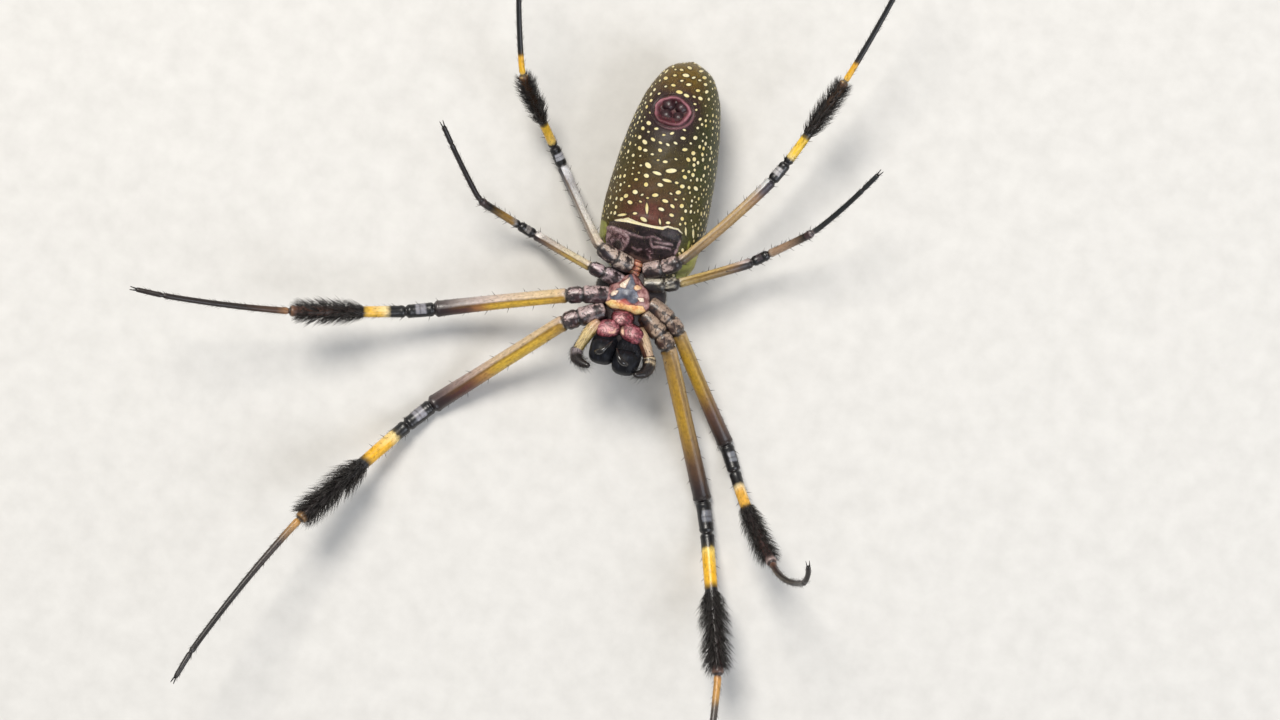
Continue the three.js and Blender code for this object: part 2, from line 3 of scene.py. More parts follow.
import bmesh
import bpy
import numpy as np
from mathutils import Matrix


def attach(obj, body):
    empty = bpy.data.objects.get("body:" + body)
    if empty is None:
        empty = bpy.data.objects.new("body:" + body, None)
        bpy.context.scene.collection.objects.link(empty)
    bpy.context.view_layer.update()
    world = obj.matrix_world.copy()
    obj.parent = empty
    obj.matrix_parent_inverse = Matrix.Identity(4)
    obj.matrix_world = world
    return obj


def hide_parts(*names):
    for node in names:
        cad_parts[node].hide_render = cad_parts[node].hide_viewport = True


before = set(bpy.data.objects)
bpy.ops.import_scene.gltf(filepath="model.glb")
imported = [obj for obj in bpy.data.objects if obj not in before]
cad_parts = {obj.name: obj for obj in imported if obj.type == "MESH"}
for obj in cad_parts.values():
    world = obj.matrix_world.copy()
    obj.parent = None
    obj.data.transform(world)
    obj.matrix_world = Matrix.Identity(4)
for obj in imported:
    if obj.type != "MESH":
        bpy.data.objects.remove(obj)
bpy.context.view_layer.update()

# Sizes, in millimetres as in the part
MM = 0.001
REST_Y = 12.0
RIM_Z = 6.0
CARAPACE_ROWS = [
    [3.5, 0, 5.9, 5.9], [3.2, 1.4, 5.2, 6.7], [2.2, 3.0, 4.4, 7.7], [0.6, 3.75, 3.4, 8.7],
    [-1.2, 3.7, 2.9, 9.2], [-2.9, 3.0, 2.6, 9.6], [-4.4, 2.85, 2.5, 9.8], [-5.6, 2.65, 3.1, 9.3],
    [-6.2, 1.7, 4.2, 8.2], [-6.4, 0, 5.4, 5.4],
]
ABDOMEN_ROWS = [
    [2.0, 0, 2.6, 2.6], [2.4, 3.2, 1.0, 4.6], [4.0, 5.0, 0.35, 7.8], [6.2, 5.4, 0.0, 10.1],
    [9.0, 5.58, -0.18, 10.9], [12.5, 5.4, -0.22, 11.1], [16.0, 5.08, -0.05, 11.0],
    [19.5, 4.5, 0.35, 10.5], [22.4, 3.65, 1.1, 9.3], [24.6, 2.25, 2.4, 7.7], [25.7, 0, 4.9, 4.9],
]
PEDICEL = dict(y=3.1, z=6.9, length=1.9, radius=0.62)
SPINNERET_Y = 19.6
STERNUM_REACH = [[2.45], [2.02], [1.95], [2.12], [2.42], [2.72], [2.6], [2.2], [2.0]]
MAXILLA = dict(x=1.3, y=-3.95, half_width=1.3, half_length=0.95, z=7.9, dome=0.95, depth=1.2, toe=-20)
CHELICERA = dict(x=1.3, root_y=-4.6, root_z=5.0, tip_y=-6.6, tip_z=10.2, radius=1.38, ahead=0.3, square=0.72)
EYES = [(0.975, -62), (0.93, -73), (0.935, -24), (0.895, -33)]
LEG_LENGTHS = {
    1: [3.0, 1.5, 18.3, 3.5, 15.8, 18.1, 3.1], 2: [2.9, 1.6, 14.8, 3.1, 12.5, 13.4, 2.9],
    3: [2.3, 1.4, 8.7, 2.0, 5.9, 7.6, 2.3], 4: [2.2, 1.9, 13.1, 2.4, 10.6, 14.2, 3.0],
}
LEG_RADII = {
    1: [[0.98, 1.04, 0.98], [0.92, 0.98, 0.9], [0.84, 0.86, 0.97], [0.78, 0.8, 0.74],
        [0.74, 0.68, 0.64], [0.4, 0.33, 0.3], [0.29, 0.28, 0.25]],
    2: [[0.9, 0.96, 0.9], [0.82, 0.88, 0.82], [0.76, 0.78, 0.86], [0.72, 0.74, 0.68],
        [0.64, 0.57, 0.56], [0.36, 0.31, 0.29], [0.28, 0.27, 0.25]],
    3: [[0.78, 0.84, 0.78], [0.7, 0.74, 0.68], [0.5, 0.5, 0.54], [0.52, 0.54, 0.5],
        [0.44, 0.4, 0.42], [0.3, 0.28, 0.27], [0.27, 0.26, 0.25]],
    4: [[0.86, 0.94, 0.88], [0.82, 0.86, 0.76], [0.54, 0.54, 0.6], [0.58, 0.6, 0.54],
        [0.5, 0.46, 0.48], [0.32, 0.28, 0.27], [0.27, 0.26, 0.25]],
}
# Each leg: its root, then each segment's heading and rise, in degrees, and how much they turn along it.
LEG_POSES = {
    "leg_1_right": ([2.18, -1.49, 7.2], [
        [-32, 8], [-44, 0], [-60, -22.6, 0, 16], [-66, 13], [-69, 23, 0, 6], [-82, 21, -6, 8], [-88, 12]]),
    "leg_2_right": ([2.43, -0.22, 7.2], [
        [-21, 7], [-40, 0], [-49.5, -28.5, 2, 16], [-56, 13], [-51, 36, 14, 6], [13.6, 75.5, 140, 20],
        [98.6, 49, 49]]),
    "leg_3_right": ([1.31, 1.43, 7.3], [
        [14, 6], [28, 4], [33, -19.4, 3, 14], [44, 15], [42, 34, 2, 6], [58, 30, 8, 6], [62, 22]]),
    "leg_4_right": ([0.94, 2.77, 7.4], [
        [27, 17], [35, 20], [58.5, -7, 6, 14], [67, 4], [71.5, 12, 2, 6], [78, 18, 6, 8], [82, 10]]),
    "leg_1_left": ([-1.62, -2.29, 7.2], [
        [-149, 6], [-145, 0], [-131.4, -22.2, 0, 16], [-124, 13], [-121, 23, 0, 6], [-111, 21, 8, 8],
        [-103, 12]]),
    "leg_2_left": ([-1.67, -0.62, 7.2], [
        [-165, 7], [-158, 0], [-157.5, -15, 2, 14], [-158, 10], [-163, 17, -2, 6], [-170, 20, -6, 8],
        [-176, 12]]),
    "leg_3_left": ([-0.81, 1.06, 7.3], [
        [170, 7], [174, 4], [166, -37.5, -2, 16], [167, 18], [166, 39, 0, 4], [132.5, 35, -4, 4],
        [130, 30]]),
    "leg_4_left": ([-0.45, 2.94, 7.6], [
        [171, 27], [163, 31], [131.4, -42.3, -4, 14], [131, 22], [131, 45, -2, 4], [107, 25, -8, 6],
        [103, 12]]),
}
# The legs' middle lines bend over BEND to both sides of a joint, and are worked out every STEP.
BEND = 1.1
STEP = 0.1
# The brush of bristles on a shin: the stretch of it that it covers, its bristles' length and their number.
BRUSHES = {1: (0.41, 0.95, 2.0, 1050), 2: (0.36, 0.93, 1.6, 760), 4: (0.35, 0.95, 1.45, 720)}
PALPS = {
    "right": [[2.1, -3.1, 7.9], [2.8, -3.9, 8.0], [3.5, -4.8, 8.0], [4.05, -5.6, 7.9],
              [4.25, -5.95, 7.95], [4.4, -6.75, 8.3], [4.05, -7.5, 8.9], [3.1, -7.95, 9.6]],
    "left": [[-1.9, -3.5, 7.9], [-2.45, -4.5, 8.0], [-2.9, -5.8, 8.0], [-3.22, -6.95, 7.8],
             [-3.28, -7.3, 7.85], [-3.15, -7.95, 8.3], [-2.5, -8.3, 8.9], [-1.5, -8.4, 9.5]],
}

# The largest pale spots of the belly: place along the body, place round it from the middle line, half-sizes
# across and along, tilt in degrees.
LARGE_SPOTS = [
    (13.5, 1.4, 0.6, 0.22, 18), (12.4, 1.2, 0.5, 0.15, 0), (12.9, 0, 0.5, 0.16, -4),
    (13.5, -1.2, 0.4, 0.24, -24), (12.4, -1.1, 0.3, 0.2, -6), (11.5, -0.9, 0.23, 0.22, 14),
    (11.8, 0.6, 0.3, 0.18, 0), (10.5, -1.9, 0.3, 0.22, 0), (10.3, 1.5, 0.33, 0.17, 0),
    (9.1, -0.2, 0.14, 0.55, 14), (7.9, -2.8, 0.6, 0.13, 14), (7.8, 5.7, 0.17, 0.5, 24),
    (7.8, 4.5, 0.13, 0.43, 19), (12.4, 4.7, 0.33, 0.2, -11), (16, 2.3, 0.3, 0.16, 19),
    (15.3, -0.3, 0.24, 0.17, -16), (8.1, 1.4, 0.09, 0.3, 20),
]
# Further off than any distance that matters, in millimetres.
FAR = 9.0
SIDES = (("left", -1), ("right", 1))
random = np.random.default_rng(11)

# Camera, floor and light
# The camera looks straight down. 300 mm below it, at 8 mm above the floor, its picture is 134.4 mm wide.
SENSOR_WIDTH = 36.0
CAMERA_LENS = 80.357
CAMERA_NEAR = 0.005
CAMERA_PLACE = (0.003331, -0.018228, 0.308)
PICTURE_TURN = math.radians(17)
LIGHTS_AIM = (0, -0.01, 0)
SKY_STRENGTH = 0.46
FLOOR_REACH = 1.5
# How deep red, green and blue light goes into soft parts.
FLESH_DEPTHS = (1.0, 0.55, 0.25)
FLESH_SCALE = 0.0006


def linked(name, data):
    made = bpy.data.objects.new(name, data)
    bpy.context.scene.collection.objects.link(made)
    return made


def aim_camera():
    camera = linked("camera", bpy.data.cameras.new("camera"))
    camera.data.sensor_width = SENSOR_WIDTH
    camera.data.lens = CAMERA_LENS
    camera.data.clip_start = CAMERA_NEAR
    camera.location = CAMERA_PLACE
    camera.rotation_euler = (0.0, 0.0, PICTURE_TURN)
    bpy.context.scene.camera = camera
    bpy.context.scene.view_settings.view_transform = "Standard"


def linear(code):
    """A colour written as six hex digits, as Blender's linear colour."""
    parts = [int(code[i : i + 2], 16) / 255 for i in (1, 3, 5)]
    return tuple(c / 12.92 if c <= 0.04045 else ((c + 0.055) / 1.055) ** 2.4 for c in parts) + (1.0,)


class Finish:
    """A procedural material. shade is its colour so far, over which lay() lays the next one."""

    def __init__(self, name, roughness=0.5, coat=0.0, coat_roughness=0.15, specular=0.5, soft=0.0,
                 place="own_place"):
        self.material = bpy.data.materials.new(name)
        self.material.use_nodes = True
        self.tree = self.material.node_tree
        self.shader = self.tree.nodes["Principled BSDF"]
        self.place = self.reads(place, vector=True) if place else None
        self.shade = None
        settings = {"Roughness": roughness, "Coat Weight": coat, "Coat Roughness": coat_roughness,
                    "Specular IOR Level": specular}
        if soft:
            settings.update({"Subsurface Weight": soft, "Subsurface Radius": FLESH_DEPTHS,
                             "Subsurface Scale": FLESH_SCALE})
        for key, value in settings.items():
            self.shader.inputs[key].default_value = value

    def add(self, kind, inputs=None, **settings):
        made = self.tree.nodes.new(kind)
        for key, value in settings.items():
            setattr(made, key, value)
        for key, value in (inputs or {}).items():
            self.put(made.inputs[key], value)
        return made

    def put(self, socket, value):
        if isinstance(value, bpy.types.NodeSocket):
            self.tree.links.new(value, socket)
        else:
            socket.default_value = linear(value) if isinstance(value, str) else value

    def reads(self, name, vector=False):
        made = self.add("ShaderNodeAttribute", attribute_name=name)
        return made.outputs["Vector" if vector else "Fac"]

    def noise(self, scale, detail=3.0, roughness=0.55, distortion=0.0, stretch=None):
        place = self.place
        if stretch:
            place = self.add("ShaderNodeMapping", {"Vector": place, "Scale": stretch}).outputs["Vector"]
        made = self.add("ShaderNodeTexNoise", {
            "Vector": place, "Scale": scale, "Detail": detail, "Roughness": roughness,
            "Distortion": distortion})
        return made.outputs["Fac"]

    def ramp(self, value, *stops):
        """Each stop is a place from 0 to 1, with the colour or the number there."""
        made = self.add("ShaderNodeValToRGB", {"Fac": value})
        band = made.color_ramp
        while len(band.elements) < len(stops):
            band.elements.new(0.5)
        for element, (place, shade) in zip(band.elements, stops):
            element.position = place
        for element, (place, shade) in zip(band.elements, stops):
            element.color = linear(shade) if isinstance(shade, str) else (shade, shade, shade, 1.0)
        return made.outputs["Color"]

    def between(self, value, low, high, to_low=0.0, to_high=1.0):
        made = self.add("ShaderNodeMapRange", {
            "Value": value, "From Min": low, "From Max": high, "To Min": to_low, "To Max": to_high},
            interpolation_type="SMOOTHSTEP")
        return made.outputs["Result"]

    def spread(self, noise, low, high):
        """The usual range of a noise, made to run from low to high."""
        return self.between(noise, 0.3, 0.7, low, high)

    def sums(self, operation, a, b=0.0, c=0.0):
        return self.add("ShaderNodeMath", {0: a, 1: b, 2: c}, operation=operation).outputs[0]

    def times(self, *shares):
        made = shares[0]
        for share in shares[1:]:
            made = self.sums("MULTIPLY", made, share)
        return made

    def swung(self, value, noise, amount):
        """A value moved up and down by noise, by amount in all."""
        return self.sums("ADD", value, self.sums("MULTIPLY_ADD", noise, amount, -amount / 2))

    def past(self, key, noise, amount, low, high):
        """How far an attribute, moved by noise, has gone from low to high."""
        return self.between(self.swung(self.reads(key), noise, amount), low, high)

    def inside(self, key, noise, rough, soft):
        """1 where an attribute, a distance to an edge in millimetres, is below 0."""
        return self.past(key, noise, rough, soft, -soft)

    def contour(self, noise, width):
        """Thin lines that follow the middle level of a noise."""
        return self.between(self.sums("ABSOLUTE", self.sums("SUBTRACT", noise, 0.5)), width, 0.0)

    def mixed(self, share, a, b, blend="MIX"):
        made = self.add("ShaderNodeMix", data_type="RGBA", blend_type=blend)
        for key, value in {"Factor": share, "A": a, "B": b}.items():
            self.put(made.inputs[key], value)
        return next(o for o in made.outputs if o.type == "RGBA")

    def lay(self, shade, *shares):
        """Lays a colour over the one so far. Its share is the product of shares."""
        self.shade = self.mixed(self.times(*shares), self.shade, shade)

    def toned(self, shade, tone):
        grey = self.add("ShaderNodeCombineColor", {"Red": tone, "Green": tone, "Blue": tone})
        return self.mixed(1.0, shade, grey.outputs["Color"], "MULTIPLY")

    def relief(self, height, strength, depth):
        made = self.add("ShaderNodeBump", {"Height": height, "Strength": strength, "Distance": depth})
        self.put(self.shader.inputs["Normal"], made.outputs["Normal"])

    def paint(self, roughness=None):
        self.put(self.shader.inputs["Base Color"], self.shade)
        if roughness is not None:
            self.put(self.shader.inputs["Roughness"], roughness)
        return self.material


def pale_floor():
    finish = Finish("pale_floor", roughness=0.85, specular=0.2, place=None)
    finish.place = finish.add("ShaderNodeTexCoord").outputs["Object"]
    grain = finish.noise(400.0, 4.0)
    finish.relief(grain, 0.15, 0.00005)
    finish.shade = finish.ramp(grain, (0.3, "#cfcdc9"), (0.7, "#d8d6d2"))
    return finish.paint()


def grid_mesh(name, x_faces, y_faces, reach):
    """A flat grid that runs from -reach to reach both ways."""
    bm = bmesh.new()
    bmesh.ops.create_grid(bm, x_segments=x_faces, y_segments=y_faces, size=reach)
    mesh = bpy.data.meshes.new(name)
    bm.to_mesh(mesh)
    bm.free()
    return mesh


def lay_floor():
    mesh = grid_mesh("floor", 4, 4, FLOOR_REACH)
    mesh.materials.append(pale_floor())
    floor = linked("floor", mesh)


def hang_light(name, place, size, power, shade):
    """A round lamp that faces LIGHTS_AIM."""
    light = bpy.data.lights.new(name, "AREA")
    light.shape = "DISK"
    light.size = size
    light.energy = power
    light.color = linear(shade)[:3]
    lamp = linked(name, light)
    lamp.location = place
    x, y, z = np.array(LIGHTS_AIM) - np.array(place)
    lamp.rotation_euler = (
        math.pi / 2 - math.atan2(-z, math.hypot(x, y)), 0.0, math.atan2(y, x) - math.pi / 2)


def light_sky(shade):
    world = bpy.data.worlds.new("studio")
    world.use_nodes = True
    sky = world.node_tree.nodes["Background"].inputs
    sky["Color"].default_value = linear(shade)
    sky["Strength"].default_value = SKY_STRENGTH
    bpy.context.scene.world = world


aim_camera()
lay_floor()
hang_light("key_light", place=(-0.25, 0.3, 0.62), size=0.3, power=5.0, shade="#fffaf2")
hang_light("fill_light", place=(0.5, -0.2, 0.5), size=0.5, power=2.4, shade="#f2f6ff")
light_sky("#e9ecef")


# Shapes
def table(rows):
    """A smooth table: at(u) gives its rows' values, with u from 0 to 1 over them."""
    rows = np.array(rows, float)
    last = len(rows) - 1

    def at(u):
        t = np.clip(np.asarray(u, float), 0, 1) * last
        i = np.minimum(t.astype(int), last - 1)
        p = (t - i)[..., None]
        before = np.where(i > 0, i - 1, i + 1)
        after = np.where(i < last - 1, i + 2, i)
        w = np.where(i > 0, 0.5, -0.5)[..., None]
        v = np.where(i < last - 1, 0.5, -0.5)[..., None]
        return (
            rows[before] * (-w * p**3 + 2 * w * p * p - w * p)
            + rows[i] * ((1 + w) * p**3 - (1.5 + 2 * w) * p * p + (w - 0.5) * p + 1)
            + rows[i + 1] * (-(1 + v) * p**3 + (1.5 + v) * p * p + 0.5 * p)
            + rows[after] * (v * p**3 - v * p * p)
        )

    return at


def unit(vectors):
    return vectors / np.maximum(np.linalg.norm(vectors, axis=-1, keepdims=True), 1e-9)


def about_waist(roll, yaw, shift=0.0):
    """The turn and move that pose the head or the abdomen about the waist."""
    r, w = math.radians(roll), math.radians(yaw)
    rolled = np.array([[math.cos(r), 0, math.sin(r)], [0, 1, 0], [-math.sin(r), 0, math.cos(r)]])
    yawed = np.array([[math.cos(w), -math.sin(w), 0], [math.sin(w), math.cos(w), 0], [0, 0, 1]])
    turn = yawed @ rolled
    centre = np.array([0, PEDICEL["y"], PEDICEL["z"]])
    return turn, centre - turn @ centre + np.array([shift, 0, 0])


HEAD_POSE = about_waist(-6, 4.5)
ABDOMEN_POSE = about_waist(-8, 3.2, 0.5)
STILL = (np.eye(3), np.zeros(3))


def posed(points, pose):
    return points @ pose[0].T + pose[1]


def smooth_bump(distance, reach):
    return np.exp(-((distance / reach) ** 2))


def rising(edge, soft):
    """1 well inside an edge, where its distance is below 0, and 0 well outside it."""
    return 1 / (1 + np.exp(np.clip(edge / soft, -30, 30)))


def ripple(points, scale, seed):
    """Soft bumps through space, the same on every run."""
    own = np.random.default_rng(seed)
    total = np.zeros(points.shape[:-1])
    for _ in range(9):
        way = own.normal(size=3) * scale
        total += np.sin(points @ way + own.uniform(0, 6.28))
    return total / 9


def along_line(x, y, start, end):
    """The distance to a straight line from start to end, and how far along it the nearest place is."""
    (ax, ay), (bx, by) = start, end
    ex, ey = bx - ax, by - ay
    t = np.clip(((x - ax) * ex + (y - ay) * ey) / (ex * ex + ey * ey), 0, 1)
    return np.hypot(x - ax - ex * t, y - ay - ey * t), t


# Distances to drawn shapes, in millimetres: below 0 inside them.
def area_edge(x, y, *areas):
    """areas are rings of corners."""
    nearest = np.full(x.shape, FAR)
    for corners in areas:
        best, within = np.full(x.shape, FAR), np.zeros(x.shape, bool)
        for (ax, ay), (bx, by) in zip(corners, corners[1:] + corners[:1]):
            best = np.minimum(best, along_line(x, y, (ax, ay), (bx, by))[0])
            if by != ay:
                within ^= ((ay > y) != (by > y)) & (x < ax + (bx - ax) * (y - ay) / (by - ay))
        nearest = np.minimum(nearest, np.where(within, -best, best))
    return nearest


def line_edge(x, y, *lines):
    """lines are rows of places, each with the line's half-width there."""
    nearest = np.full(x.shape, FAR)
    for points in lines:
        for (ax, ay, aw), (bx, by, bw) in zip(points, points[1:]):
            away, t = along_line(x, y, (ax, ay), (bx, by))
            nearest = np.minimum(nearest, away - (aw + (bw - aw) * t))
    return nearest


def spot_edge(x, y, spots):
    """spots are ellipses: centre, half-sizes and tilt in degrees."""
    nearest = np.full(x.shape, FAR)
    for cx, cy, half_long, half_wide, tilt in spots:
        t = math.radians(tilt)
        dx, dy = x - cx, y - cy
        a = (dx * math.cos(t) + dy * math.sin(t)) / half_long
        b = (-dx * math.sin(t) + dy * math.cos(t)) / half_wide
        nearest = np.minimum(nearest, (np.sqrt(a * a + b * b) - 1) * min(half_long, half_wide))
    return nearest


def in_scene(points):
    """Points of the part, in millimetres, as points of the scene, in metres."""
    return (points - np.array([0, REST_Y, 0])) * MM


def unwrap(mesh, places):
    mesh.uv_layers.new(name="OFBake").data.foreach_set("uv", places.astype(np.float32).ravel())


def mark(mesh, values):
    """Gives the mesh's points the values that its material reads."""
    for key, column in values.items():
        kind, field = ("FLOAT_VECTOR", "vector") if column.ndim == 2 else ("FLOAT", "value")
        layer = mesh.attributes.new(key, kind, "POINT")
        layer.data.foreach_set(field, column.astype(np.float32).ravel())


def set_piece(name, mesh, slot, replaced=()):
    piece = linked(name, mesh)
    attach(piece, "root")
    if replaced:
        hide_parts(*replaced)


def moulded(name, place, around, along, finish, slot, replaced=(), marks=None, pose=STILL):
    """A closed tube of around by along faces. place(turn, run) gives its points in millimetres, with turn
    and run from 0 to 1, and marks(turn, run) gives the values that its material reads."""
    mesh = grid_mesh(name, around, along, 0.5)
    flat = np.zeros(len(mesh.vertices) * 3, np.float32)
    mesh.vertices.foreach_get("co", flat)
    flat = flat.reshape(-1, 3).astype(float)
    turn = np.round((flat[:, 0] + 0.5) * around) / around
    run = np.round((flat[:, 1] + 0.5) * along) / along
    corner = np.zeros(len(mesh.loops), np.int32)
    mesh.loops.foreach_get("vertex_index", corner)
    unwrap(mesh, np.stack([turn[corner], run[corner]], 1))
    own = place(turn % 1.0, run)
    points = in_scene(posed(own, pose))
    points[:, 2] = np.maximum(points[:, 2], 0)
    mesh.vertices.foreach_set("co", points.astype(np.float32).ravel())
    mark(mesh, {"own_place": own, **(marks(turn % 1.0, run) if marks else {})})
    bm = bmesh.new()
    bm.from_mesh(mesh)
    bmesh.ops.remove_doubles(bm, verts=bm.verts, dist=2e-7)
    bmesh.ops.recalc_face_normals(bm, faces=bm.faces)
    for face in bm.faces:
        face.smooth = True
    bm.to_mesh(mesh)
    bm.free()
    mesh.materials.append(finish)
    set_piece(name, mesh, slot, replaced)


def ended(run, share=0.02):
    """A ring's size near the two rounded ends of a tube."""
    near = np.clip(np.minimum(run, 1 - run) / share, 0, 1)
    return np.sqrt(1 - (1 - near) ** 2)


def spokes(turn):
    """Directions away from an axis along Y. A turn of 0.25 points to the belly, 0.75 to the back."""
    angle = 2 * math.pi * turn
    return np.stack([np.cos(angle), 0 * angle, np.sin(angle)], -1)


def loft_point(rows, turn, run, grow=0.0):
    """A point of a body lofted along Y."""
    row = table(rows)(run)
    angle = 2 * math.pi * turn
    wide = np.maximum(row[..., 1], 0) + grow
    tall = np.maximum(row[..., 3] - row[..., 2], 0) / 2 + grow
    middle = (row[..., 2] + row[..., 3]) / 2
    return np.stack([wide * np.cos(angle), row[..., 0], middle + tall * np.sin(angle)], -1)


def swollen(base, rows, turn, run, grow, full_width):
    """Points of a lofted body moved outwards by grow, and less where the body is narrow."""
    wide = table(rows)(run)[:, 1]
    return base + spokes(turn) * (grow * np.clip(wide / full_width, 0, 1))[:, None]


def outward(place, turn, run, step=1e-3):
    """Points of a surface, the directions that leave it there, and those that run along it."""
    here = place(turn, run)
    round_it = place((turn + step) % 1.0, run) - place((turn - step) % 1.0, run)
    down_it = place(turn, np.minimum(run + step, 1)) - place(turn, np.maximum(run - step, 0))
    normal = unit(np.cross(round_it, down_it))
    middle = place(np.full_like(turn, 0.25), run) + place(np.full_like(turn, 0.75), run)
    return here, normal * np.sign(np.sum(normal * (here - middle / 2), -1, keepdims=True)), unit(down_it)


def through(points):
    """A smooth path through points: at(t) gives places and directions, with t from 0 to 1."""
    at = table(points)

    def path(t):
        ahead, behind = at(np.minimum(t + 1e-3, 1)), at(np.maximum(t - 1e-3, 0))
        return at(t), unit(ahead - behind)

    return path


def across_path(path, run, upward=(0, 0, 1)):
    centre, forward = path(run)
    side = unit(np.cross(forward, np.array(upward, float)))
    return centre, forward, side, np.cross(side, forward)


def tube_place(path, size, upward=(0, 0, 1), square=1.0):
    """place() of a tube on a path, with size(run) its radius. A square below 1 fills out its corners."""

    def full(share):
        return np.sign(share) * np.abs(share) ** square

    def place(turn, run):
        centre, _, side, up = across_path(path, run, upward)
        angle = (2 * math.pi * turn)[:, None]
        r = np.asarray(size(run))[:, None]
        return centre + r * (side * full(np.cos(angle)) + up * full(np.sin(angle)))

    return place


def swept(side, up, angle):
    """Directions at angles round a path."""
    return side * np.cos(angle)[:, None] + up * np.sin(angle)[:, None]


# Bristles, hairs and down
HAIR_SIDES = 3
HAIR_TAPER = 0.75
CLEAR_OF_FLOOR = 0.04
# How far a hair's corners lie apart on the unwrap.
PATCH_SIZE = 0.003


def hair_faces(levels):
    """The faces of one hair: rings of HAIR_SIDES corners, then the tip."""
    faces = []
    top = (levels - 1) * HAIR_SIDES
    for k in range(HAIR_SIDES):
        after = (k + 1) % HAIR_SIDES
        for low in range(0, top, HAIR_SIDES):
            faces.append((low + k, low + after, low + after + HAIR_SIDES))
            faces.append((low + k, low + after + HAIR_SIDES, low + k + HAIR_SIDES))
        faces.append((top + k, top + after, top + HAIR_SIDES))
    return np.array(faces + [(2, 1, 0)])


def bristles(name, roots, ways, bends, lengths, widths, patch, finish, slot, levels=3):
    """One joined mesh of tapered hairs. Each leaves its root along ways and ends up turned by bends.
    patch is each hair's place on the unwrap of the skin that it grows from."""
    ways = unit(ways)
    tips = roots + (ways + bends * 0.5) * lengths[:, None]
    kept = np.minimum(roots[:, 2], tips[:, 2]) > CLEAR_OF_FLOOR
    roots, ways, bends, lengths, tips, widths, patch = (
        values[kept] for values in (roots, ways, bends, lengths, tips, widths, patch))
    count = len(roots)
    across = unit(np.cross(ways, bends + 1e-4))
    other = np.cross(across, ways)
    rings = []
    for t in (level / levels for level in range(levels)):
        centre = roots + (ways * t + bends * t * t * 0.5) * lengths[:, None]
        for a in (2 * math.pi * k / HAIR_SIDES for k in range(HAIR_SIDES)):
            out = across * math.cos(a) + other * math.sin(a)
            rings.append(centre + out * (widths * (1 - HAIR_TAPER * t))[:, None])
    points = np.stack(rings + [tips], 1)
    per = HAIR_SIDES * levels + 1
    faces = hair_faces(levels)
    all_faces = (faces[None] + (np.arange(count) * per)[:, None, None]).reshape(-1, 3)
    mesh = bpy.data.meshes.new(name)
    mesh.from_pydata(in_scene(points.reshape(-1, 3)).tolist(), [], all_faces.tolist())
    steps = np.arange(HAIR_SIDES * levels)
    corners = np.stack([steps % HAIR_SIDES / HAIR_SIDES - 0.4, steps // HAIR_SIDES / levels - 0.5], 1)
    corners = np.vstack([corners * PATCH_SIZE, [0, PATCH_SIZE / 2]])
    unwrap(mesh, np.clip(patch[:, None, None, :] + corners[faces][None], 0, 1).reshape(-1, 2))
    run = np.concatenate([np.repeat(np.arange(levels) / levels, HAIR_SIDES), [1.0]])
    mark(mesh, {"hair_run": np.tile(run, count), "hair_shade": np.repeat(random.random(count), per)})
    mesh.polygons.foreach_set("use_smooth", [True] * len(mesh.polygons))
    mesh.materials.append(finish)
    set_piece(name, mesh, slot)


def hair_finish(name, root, tip, roughness):
    finish = Finish(name, roughness=roughness, place=None)
    finish.shade = finish.mixed(finish.reads("hair_run"), root, tip)
    finish.lay(tip, finish.reads("hair_shade"), 0.4)
    return finish.paint()


